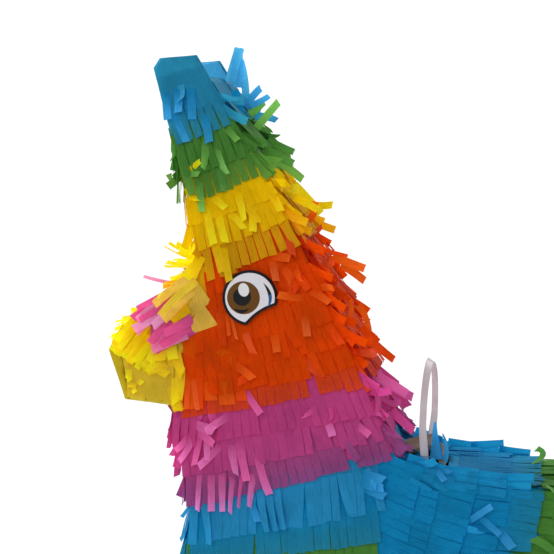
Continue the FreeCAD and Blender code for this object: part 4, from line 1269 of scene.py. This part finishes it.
def sheet(paper, corners, tone, side, rise, seed):
    """An uncut piece of paper on a side of the head: four corners (x, z in mm), domed and waved."""
    out = sideways(side)
    a, b, c, d = (Vector((x, 0.0, z)) * MM for x, z in corners)
    cells = 10
    rows, uvs, tints = [], [], []
    for i in range(cells + 1):
        u = i / cells
        row, uv_row, tint_row = [], [], []
        for j in range(cells + 1):
            v = j / cells
            point = a.lerp(b, u).lerp(d.lerp(c, u), v)
            dome = 4 * u * (1 - u) * v * (1 - v)
            ripple = noise.noise(Vector((point.x * 90, point.z * 90, seed)))
            height = HALF + rise + SHEET_DOME * dome + SHEET_WAVE * ripple
            row.append(Vector((point.x, 0.0, point.z)) + out * height)
            uv_row.append((point.x + seed, point.z))
            # The tint follows the wave: painted light on its crests and painted shade in its dips.
            tint_row.append(brighter(tone, 1 + 0.10 * ripple))
        rows.append(row)
        uvs.append(uv_row)
        tints.append(tint_row)
    paper.grid(rows, uvs, tints)


PALE_GOLD = (0.82, 0.57, 0.080)
# Painted light: a lit pale yellow for the highlights on the muzzle's strips and tips.
LIT_LEMON = (0.98, 0.86, 0.004)
# Painted shade: the same darkened yellow, for the plain paper on the muzzle's lower part.
SHADED_OLIVE = (0.80, 0.60, 0.040)
HOT_PINK = (0.78, 0.11, 0.34)
# Painted light: a lit pale pink for some of the muzzle's strips.
LIT_PALE_PINK = (0.84, 0.36, 0.62)

# Both sides of the muzzle. Sheets: corners and colour. Strips: x, z, angle, length, width (mm),
# lift, curl, bend, twist, colour.
MUZZLE = {
    "muzzle_gold_row": ("crepe_gold", [
        (((-134.6, 396), (-123.6, 380), (-139, 367), (-148, 378)), PALE_GOLD),
        (((-137, 399), (-130, 385), (-141, 372), (-156, 369)), PALE_GOLD),
        (((-129.3, 378.5), (-118.3, 363.2), (-138, 356.2), (-142.3, 359.3)), PALE_GOLD),
    ], [
        (-135, 400, -60, 38, 6.5, 8, 12, 12, 10, PALE_GOLD),
        (-134, 395, -56, 37, 6.0, 14, -16, 16, -20, mixed(PALE_GOLD, LIT_LEMON, 0.4)),
        (-136, 388, -48, 32, 6.0, 10, 16, 6, 24, PALE_GOLD),
        (-139, 384, -38, 24, 5.5, 8, 20, -12, 20, GOLD),
        (-131, 413, -24, 16, 8.0, 4, 4, 0, 0, YELLOW),
        (-133, 408, -40, 14, 8.0, 6, 4, 0, 0, mixed(YELLOW, LIT_LEMON, 0.5)),
        (-146, 392, -62, 20, 6.0, 14, 20, 10, 30, mixed(PALE_GOLD, LIT_LEMON, 0.5)),
        (-141, 377, -56, 16, 12.0, 6, 16, 0, 0, mixed(GOLD, YELLOW, 0.4)),
    ]),
    "muzzle_pink_row": ("crepe_pink", [
        (((-146, 379), (-140, 357), (-160, 350), (-163, 372)), HOT_PINK),
        (((-152, 378), (-148, 350), (-168, 352), (-168, 368)), HOT_PINK),
        (((-140, 371), (-133, 358), (-146, 350), (-152, 362)), PINK),
    ], [
        (-150, 381, -58, 30, 7.0, 6, 8, 0, 10, HOT_PINK),
        (-153, 376, -56, 32, 7.0, 8, 14, -4, -14, LIT_PALE_PINK),
        (-147, 378, -52, 26, 7.0, 10, 20, 4, 20, LIT_PALE_PINK),
        (-151, 369, -42, 26, 7.0, 5, 10, 2, 10, HOT_PINK),
        (-148, 366, -38, 27, 7.0, 5, 8, 0, -10, mixed(HOT_PINK, LIT_PALE_PINK, 0.3)),
        (-144, 363, -46, 28, 7.0, 7, 10, 2, 20, HOT_PINK),
        (-137, 367, -63, 25, 7.0, 14, 30, 0, 20, HOT_PINK),
        (-141, 356, -68, 29, 7.0, 10, 18, 2, -20, mixed(HOT_PINK, LIT_PALE_PINK, 0.5)),
        (-139, 361, -58, 25, 6.0, 10, 12, 6, 10, HOT_PINK),
        (-158, 384, -62, 22, 6.0, 5, 10, 0, 10, HOT_PINK),
        (-160, 381, -50, 23, 6.0, 6, 12, 2, 12, LIT_PALE_PINK),
        (-165, 379, -54, 20, 6.0, 6, 10, 0, -10, HOT_PINK),
        (-162, 374, -44, 24, 6.0, 9, 14, 0, 16, mixed(HOT_PINK, LIT_PALE_PINK, 0.5)),
    ]),
    "muzzle_yellow_row": ("crepe_yellow", [
        (((-170, 368), (-166, 350), (-182, 338), (-187, 352)), YELLOW),
    ], [
        (-172, 371, -36, 26, 6.0, 5, 12, 0, 10, YELLOW),
        (-176, 366, -38, 26, 6.0, 7, 16, 4, -20, mixed(YELLOW, LIT_LEMON, 0.6)),
        (-170, 363, -34, 27, 6.0, 6, 12, 0, 20, YELLOW),
        (-174, 358, -34, 24, 6.0, 8, 14, 0, -10, mixed(YELLOW, LIT_LEMON, 0.5)),
        (-169, 355, -36, 25, 6.0, 5, 10, 0, 14, YELLOW),
        (-166, 352, -35, 22, 6.0, 8, 14, -4, 10, mixed(YELLOW, LIT_LEMON, 0.6)),
        (-180, 361, -33, 22, 6.0, 8, 16, 2, 10, YELLOW),
        (-184, 356, -30, 18, 6.0, 8, 10, 2, -10, mixed(YELLOW, LIT_LEMON, 0.4)),
        (-180, 366, -40, 20, 6.0, 8, 12, 0, 12, mixed(YELLOW, LIT_LEMON, 0.7)),
        (-186, 361, -36, 16, 6.0, 8, 12, 4, -12, YELLOW),
        (-191, 354, -26, 12, 5.5, 8, 10, 0, 10, mixed(YELLOW, LIT_LEMON, 0.6)),
    ]),
    "muzzle_bunch": ("crepe_yellow", [
        (((-187.5, 337), (-150.5, 344), (-152.6, 306.6), (-185.4, 310.0)), SHADED_OLIVE),
        (((-158, 348), (-146, 344), (-143, 330), (-156, 334)), mixed(YELLOW, SHADED_OLIVE, 0.5)),
    ], [
        (-163, 347, -30, 20, 7.0, 26, 60, 10, 30, LIT_LEMON),
        (-158, 348, -8, 22, 8.0, 30, 70, -10, -30, YELLOW),
        (-153, 348, 8, 20, 8.0, 34, 60, 20, 20, LIT_LEMON),
        (-150, 342, 20, 22, 8.0, 20, 50, 8, -40, YELLOW),
        (-160, 339, -50, 22, 6.0, 30, 50, 20, 30, LIT_LEMON),
        (-156, 334, -62, 22, 6.0, 26, 40, -20, -30, YELLOW),
        (-166, 337, -66, 16, 6.0, 30, 60, 30, 40, LIT_LEMON),
        (-164, 332, 52, 16, 6.0, 30, 40, 20, 30, YELLOW),
        (-172, 339, -40, 14, 5.0, 24, 50, 10, 20, LIT_LEMON),
        (-146, 332, 2, 26, 7.0, 14, 30, -8, 30, YELLOW),
        (-149, 324, -4, 22, 7.0, 18, 40, 10, -30, mixed(YELLOW, LIT_LEMON, 0.6)),
        (-153, 318, 24, 20, 7.0, 14, 20, -10, 20, YELLOW),
        (-150, 312, 14, 13, 8.0, 10, 20, 0, 10, GOLD),
        (-184, 330, -4, 12, 5.0, 30, 60, 20, 40, LIT_LEMON),
        (-182, 325, -60, 8, 5.0, 40, 60, 20, 40, LIT_LEMON),
        (-180, 320, -30, 9, 5.0, 40, 70, -20, -40, YELLOW),
        (-177, 322, 50, 9, 4.0, 40, 60, 20, 30, LIT_LEMON),
        (-181, 316, 30, 8, 4.0, 40, 60, 20, 30, LIT_LEMON),
    ]),
    "cheek_sheet": ("crepe_orange", [
        (((-145, 355), (-108, 360), (-100, 318), (-143, 322)), mixed(ORANGE, GOLD, 0.08)),
    ], [
        (-136, 324, 3, 22, 11.0, 3, 2, 0, 0, mixed(ORANGE, GOLD, 0.08)),
        (-125, 322, 6, 14, 10.0, 3, 2, 0, 0, mixed(ORANGE, GOLD, 0.10)),
        (-114, 322, 9, 17, 12.0, 3, 2, 0, 0, mixed(ORANGE, GOLD, 0.08)),
        (-104, 324, 12, 16, 8.0, 3, 2, 0, 0, ORANGE),
    ]),
}

for name, (slot, sheets, strips) in MUZZLE.items():
    rng = random.Random(name)
    paper = Paper()
    for side in (-1, 1):
        out = (0.0, float(side), 0.0)
        for order, (corners, tone) in enumerate(sheets):
            sheet(paper, corners, tone, side, rise=0.0014 + 0.0005 * order, seed=order * 3.1 + side)
        for x, z, angle, length, width, lift, curl, bend, twist, tone in strips:
            root = Vector((x * MM, side * (HALF + 0.0026), z * MM))
            # The bunch's roots lean to that darker yellow: painted shade at their feet.
            below = SHADED_OLIVE if name == "muzzle_bunch" else tone
            loose(paper, rng, root, heading_of(angle), out, length * MM, width * MM, tone,
                  curl, side * bend, twist, lift=lift, limit=0.007,
                  base_tone=mixed(below, tone, 0.35))
    dress(paper.piece(name, FRINGE), slot)


ACROSS = 56.0  # mm: the first strip of a row across the body
ACROSS_PITCH = 5.9


def across_rows(name, slot, rows):
    """Fringe on a strip between the panels: rows of single strips across the body. Each row is
    (x, z, heading, facing, length, lift, curl, wildness, tones)."""
    rng = random.Random(name)
    paper = Paper()
    for x, z, heading, facing, length, lift, curl, wild, tones in rows:
        y = -ACROSS
        while y < ACROSS + 1.0:
            tone = mixed(tones[0], tones[1], rng.random())
            way = Vector((heading[0], rng.gauss(0, 0.10 + 0.5 * wild), heading[1]))
            if rng.random() < 0.92:
                loose(paper, rng, Vector((x + rng.uniform(-1, 1), y, z)) * MM, way,
                      (facing[0], 0.0, facing[1]), length * rng.uniform(0.8, 1.08) * MM,
                      0.0056, tone, curl * rng.uniform(0.3, 1.5), rng.gauss(0, 14) * wild,
                      rng.gauss(0, 40) * wild, lift=lift * rng.uniform(0.6, 1.4), limit=0.03)
            y += ACROSS_PITCH
    dress(paper.piece(name, FRINGE), slot)


across_rows("bridge_fringe", "crepe_yellow", [
    (-128, 408, (-0.97, 0.22), (-0.6, 0.8), 32, 0, 20, 0.9, (YELLOW, LIT_LEMON)),
    (-131, 404, (-0.97, -0.10), (-0.6, 0.8), 30, 6, 10, 0.9, (YELLOW, LIT_LEMON)),
    (-140, 399, (-0.86, -0.5), (-0.6, 0.8), 22, 10, 14, 0.7, (YELLOW, LIT_LEMON)),
    (-146, 394, (-0.80, -0.6), (-0.6, 0.8), 20, 16, 12, 0.6, (GOLD, LIT_LEMON)),
])
across_rows("bridge_pink_fringe", "crepe_pink", [
    (-152, 388, (-0.80, -0.60), (-0.6, 0.8), 24, 8, 0, 0.3, (HOT_PINK, LIT_PALE_PINK)),
    (-158, 383, (-0.80, -0.60), (-0.6, 0.8), 24, 8, 4, 0.3, (HOT_PINK, LIT_PALE_PINK)),
    (-164, 378, (-0.80, -0.60), (-0.6, 0.8), 20, 6, 4, 0.3, (HOT_PINK, LIT_PALE_PINK)),
])
across_rows("nose_fringe", "crepe_yellow", [
    (-178, 368, (-0.86, -0.45), (-0.6, 0.8), 17, 18, 10, 0.7, (YELLOW, LIT_LEMON)),
    (-184, 363, (-0.80, -0.60), (-0.6, 0.8), 17, 20, -10, 0.6, (YELLOW, LIT_LEMON)),
    (-188, 357, (-0.78, -0.62), (-0.6, 0.8), 15, 12, 4, 0.5, (YELLOW, LIT_LEMON)),
])
across_rows("chin_fringe", "crepe_yellow", [
    (-158, 307, (0.62, -0.75), (0.1, -1.0), 15, 4, 10, 0.4, (YELLOW, GOLD)),
    (-153, 312, (0.30, -0.95), (-0.9, -0.2), 14, 6, 10, 0.5, (YELLOW, LIT_LEMON)),
])
across_rows("forehead_fringe", "crepe_yellow", [
    (-131, 436, (-0.22, -0.97), (-1.0, 0.2), 26, 8, 6, 0.4, (YELLOW, LIT_LEMON)),
    (-129, 420, (-0.30, -0.95), (-1.0, 0.2), 18, 14, 10, 0.6, (YELLOW, LIT_LEMON)),
])
rng = random.Random("strand")
paper = Paper()
loose(paper, rng, Vector((-156, -44, 391.6)) * MM, (-0.98, 0.0, 0.17), NEAR, 0.021, 0.0028,
      LIT_PALE_PINK, 10, 6, 20)
dress(paper.piece("pink_strand", FRINGE), "crepe_pink")

# ------------------------------------------------------------------ printed eyes


EYE_RISE = 0.0048  # the sticker lies over the fringe


def eye_sticker(name, replaced, inks):
    """A round printed eye with a bite at its lower edge: stacked flat inks, slightly domed."""
    low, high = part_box(replaced)
    centre = Vector(((low.x + high.x) / 2, 0.0, (low.z + high.z) / 2))
    side = -1 if low.y < 0 else 1
    surface = HALF + EYE_RISE
    bite = Vector((math.cos(math.radians(-56)), math.sin(math.radians(-56)))) * 53.2
    verts, faces, kinds = [], [], []

    def rim(radius, bite_radius):
        def reach(turn):
            way = Vector((math.cos(turn), math.sin(turn)))
            along = way.dot(bite)
            inside = along * along - bite.length_squared + bite_radius ** 2
            if along <= 0 or inside <= 0:
                return radius
            return min(radius, along - math.sqrt(inside))
        return lambda turn: Vector((math.cos(turn), math.sin(turn))) * reach(turn)

    def oval(x, z, wide, tall, tilt=0.0):
        def point(turn):
            a, b = wide * math.cos(turn), tall * math.sin(turn)
            lean = math.radians(tilt)
            return Vector((x + a * math.cos(lean) - b * math.sin(lean),
                           z + a * math.sin(lean) + b * math.cos(lean)))
        return point

    def place(point, layer):
        dome = 0.0009 * (1 - min(1.0, point.length_squared / 400))
        ripple = 0.00012 * noise.noise(Vector((point.x * 0.12, point.y * 0.12, side)))
        return (centre.x + point.x * MM, side * (surface + dome + ripple + layer * 0.00009),
                centre.z + point.y * MM)

    def disc(edge, heart, layer, kind, turns=96, rings=8, skirt=False):
        base = len(verts)
        for ring in range(rings + 1):
            for step in range(turns):
                point = Vector(heart).lerp(edge(math.tau * step / turns), ring / rings)
                verts.append(place(point, layer))
        if skirt:
            for step in range(turns):
                x, y, z = verts[base + rings * turns + step]
                verts.append((x, y - side * 0.0009, z))
        for ring in range(rings + (1 if skirt else 0)):
            for step in range(turns):
                a = base + ring * turns + step
                b = base + ring * turns + (step + 1) % turns
                quad = (a, b, b + turns, a + turns)
                faces.append(quad if side > 0 else quad[::-1])
                kinds.append(kind)

    def crescent(points, layer, kind):
        """A thin sliver: (x, z, half thickness) along its middle."""
        base = len(verts)
        for index, (x, z, half) in enumerate(points):
            before = Vector(points[max(0, index - 1)][:2])
            after = Vector(points[min(len(points) - 1, index + 1)][:2])
            across = (after - before).normalized()
            across = Vector((across.y, -across.x)) * half
            middle = Vector((x, z))
            verts.append(place(middle - across, layer))
            verts.append(place(middle + across, layer))
        for index in range(len(points) - 1):
            a = base + index * 2
            quad = (a, a + 1, a + 3, a + 2)
            faces.append(quad if side > 0 else quad[::-1])
            kinds.append(kind)

    disc(rim(20.0, 40.2), (0, 0), 0, 0, rings=10, skirt=True)
    disc(rim(18.0, 42.2), (0, 0), 1, 1, rings=10)
    disc(oval(-4.6, 0.0, 11.9, 11.9), (-4.6, 0.0), 2, 2)
    disc(oval(-5.6, 0.7, 6.5, 6.5), (-5.6, 0.7), 3, 0, turns=64, rings=5)
    disc(oval(-4.4, 5.8, 3.9, 4.9, 14), (-4.4, 5.8), 4, 3, turns=64, rings=4)
    sag = [(-11.9 + 11.7 * t, -7.7 - 6.0 * t * (1 - t) * 1.5, 1.25 * math.sin(math.pi * t))
           for t in [i / 14 for i in range(15)]]
    crescent(sag, 3, 0)
    arc = []
    for i in range(19):
        t = i / 18
        x = 9.8 * (1 - t) ** 2 + 2 * t * (1 - t) * 18.2 + 12.5 * t * t
        z = 10.8 * (1 - t) ** 2 + 2 * t * (1 - t) * 1.0 - 7.6 * t * t
        arc.append((x, z, 1.25 * math.sin(math.pi * min(1.0, t * 1.05)) ** 0.8))
    crescent(arc[:9], 2, 0)
    crescent(arc[8:], 2, 4)
    mesh = bpy.data.meshes.new(name)
    mesh.from_pydata(verts, [], faces)
    for ink in inks:
        mesh.materials.append(ink)
    mesh.polygons.foreach_set("material_index", kinds)
    mesh.polygons.foreach_set("use_smooth", [True] * len(faces))
    mesh.validate()
    dress(added(name, mesh), "eye_print", replaced)


INKS = [
    print_material(name, tone)
    for name, tone in (
        ("ink_black", (0.006, 0.006, 0.008)), ("ink_white", (0.80, 0.78, 0.83)),
        ("ink_brown", (0.140, 0.054, 0.003)), ("ink_gloss", (0.82, 0.82, 0.84)),
        ("ink_blue", (0.020, 0.110, 0.300)),
    )
]
eye_sticker("near_eye_sticker", "near_eye", INKS)
eye_sticker("far_eye_sticker", "far_eye", INKS)

# ------------------------------------------------------------------ hanging loop


ROUNDING = 0.00045  # radius of the strap's edges


def strap():
    """The flat strap: two legs and a half circle, with rounded edges, fixed under the back."""
    low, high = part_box("hanging_loop")
    tabs_low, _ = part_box("loop_end_tabs")
    mid_x = (low.x + high.x) / 2
    wide = (high.x - low.x) / 2
    radius = (high.y - low.y) / 2 - 0.0005
    turn_z = high.z - 0.0005 - radius
    path = []
    steps = 22
    floor = tabs_low.z + 0.0005
    feet = []  # the ends folded outwards under the plates
    for i in range(4):
        y = tabs_low.y + (-radius - 0.001 - tabs_low.y) * i / 4
        feet.append((Vector((0.0, y, floor)), Vector((0.0, 0.0, 1.0))))
    for i in range(5):
        turn = math.radians(90 * i / 4)
        centre = Vector((0.0, -radius - 0.001, floor + 0.001))
        way = Vector((0.0, math.sin(turn), -math.cos(turn)))
        feet.append((centre + way * 0.001, -way))
    path.extend(feet)
    for i in range(1, steps + 1):
        z = floor + 0.001 + (turn_z - floor - 0.001) * i / steps
        path.append((Vector((0.0, -radius, z)), Vector((0.0, -1.0, 0.0))))
    for i in range(1, 48):
        turn = math.pi - math.pi * i / 48
        way = Vector((0.0, math.cos(turn), math.sin(turn)))
        path.append((Vector((0.0, 0.0, turn_z)) + way * radius, way))
    for i in range(steps):
        z = turn_z - (turn_z - floor - 0.001) * i / steps
        path.append((Vector((0.0, radius, z)), Vector((0.0, 1.0, 0.0))))
    for point, out in reversed(feet):
        path.append((Vector((0.0, -point.y, point.z)), Vector((0.0, -out.y, out.z))))
    section = []
    for sx, sy, start in ((1, 1, 0), (-1, 1, 90), (-1, -1, 180), (1, -1, 270)):
        for step in range(4):
            turn = math.radians(start + 30 * step)
            section.append((sx * (wide - ROUNDING) + ROUNDING * math.cos(turn),
                            sy * 0.00005 + ROUNDING * math.sin(turn)))
    verts, faces = [], []
    travel, travels = 0.0, []
    for index, (point, out) in enumerate(path):
        if index:
            travel += (point - path[index - 1][0]).length
        travels.append(travel)
        above = max(0.0, point.z - high.z + 0.0725)
        free = min(1.0, above / 0.03)
        skew = point.y / radius * (0.0009 + 0.0022 * free * free * (3 - 2 * free))
        shift = Vector((mid_x + skew + 0.028 * above, 0.0, 0.0))
        turned = Vector((1.0, 0.0, 0.0)) * math.cos(0.6 * free)
        turned -= out * math.sin(0.6 * free)
        for x, depth in section:
            verts.append(tuple(turned * x + shift + point + out * depth))
    n = len(section)
    for index in range(len(path) - 1):
        for k in range(n):
            a = index * n + k
            b = index * n + (k + 1) % n
            faces.append((a, b, b + n, a + n))
    faces.append(tuple(range(n))[::-1])
    faces.append(tuple(range((len(path) - 1) * n, len(path) * n)))
    mesh = bpy.data.meshes.new("loop_strap")
    mesh.from_pydata(verts, [], faces)
    mesh.materials.append(STRAP)
    layer = mesh.uv_layers.new(name="crepe")
    for loop in mesh.loops:
        index = loop.vertex_index
        layer.data[loop.index].uv = (verts[index][0] - mid_x, travels[index // n])
    mesh.polygons.foreach_set("use_smooth", [True] * len(faces))
    bm = bmesh.new()
    bm.from_mesh(mesh)
    bmesh.ops.recalc_face_normals(bm, faces=bm.faces)
    bm.to_mesh(mesh)
    bm.free()
    made = added("loop_strap", mesh)
    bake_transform(made)
    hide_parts("hanging_loop", "loop_end_tabs")


strap()
staples = nodes["loop_staples"].data.materials
staples.clear()
staples.append(WIRE)

# ------------------------------------------------------------------ tissue at the flap

FLAP_STRIPS = [
    # place, heading, length, width, curl, bend, twist, colour
    ((38.5, -30, 262), (-0.12, 0.1, 1.0), 28, 9.0, 10, 8, 20, LIT_BLUE),
    ((39, -27, 262), (0.15, 0.2, 1.0), 20, 8.0, 30, -20, 40, BLUE),
    ((44, -20, 259), (0.45, 0.0, 0.9), 22, 5.0, 10, -50, 30, LIT_BLUE),
    ((36, -48, 258), (0.3, -0.2, 0.9), 9, 5.0, 60, 20, 40, LIT_BLUE),
    ((30, -52, 259), (-0.5, -0.3, 0.5), 10, 5.0, 60, 30, 40, BLUE),
    ((26, -46, 258), (0.1, -0.3, 0.8), 9, 6.0, 40, -20, 40, BLUE),
]
dress(edge_paper("flap", FLAP_STRIPS, taper=0.75).piece("flap_shreds", FRINGE), "crepe_blue")

# ------------------------------------------------------------------ tail


def tail_roll(name, replaced, slot, tone, body):
    """The tail's rolled tissue: the CAD solid with its paper wound round it."""
    made = wrapped(name, replaced, slot, tone, 0, WRAP, longest=0.003, sink=0.0009, ripple=220.0)
    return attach(made, body)


def tail_bundle():
    """Fringe that hangs in layers round the tail's end."""
    low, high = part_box("tail_brush")
    x, y = (low.x + high.x) / 2, (low.y + high.y) / 2
    rng = random.Random("tail")
    paper = Paper()
    for layer, (start, length, tone) in enumerate((
        (0.0, 44, BLUE), (-8.0, 38, GREEN), (-16.0, 31, YELLOW), (-22.0, 25, ORANGE)
    )):
        for index in range(14):
            turn = math.tau * (index + 0.5 * (layer % 2)) / 14
            out = Vector((math.cos(turn), math.sin(turn), 0.0))
            root = Vector((x, y, high.z + start * MM)) + out * (0.0058 + 0.0008 * layer)
            way = Vector((out.x * 0.10, out.y * 0.10, -1.0))
            loose(paper, rng, root, way, out, length * rng.uniform(0.9, 1.0) * MM, 0.0042, tone,
                  rng.uniform(-6, 14), rng.gauss(0, 5), rng.gauss(0, 14), lift=2, limit=0.006)
    dress(paper.piece("tail_fringe", FRINGE), slot_of("tail_brush"), body="tail")


for name, body in (("tail_stub", "donkey"), ("tail_rope", "tail"), ("tail_brush", "tail")):
    tail_roll(name + "_roll", name, slot_of(name), BLUE, body)
tail_bundle()
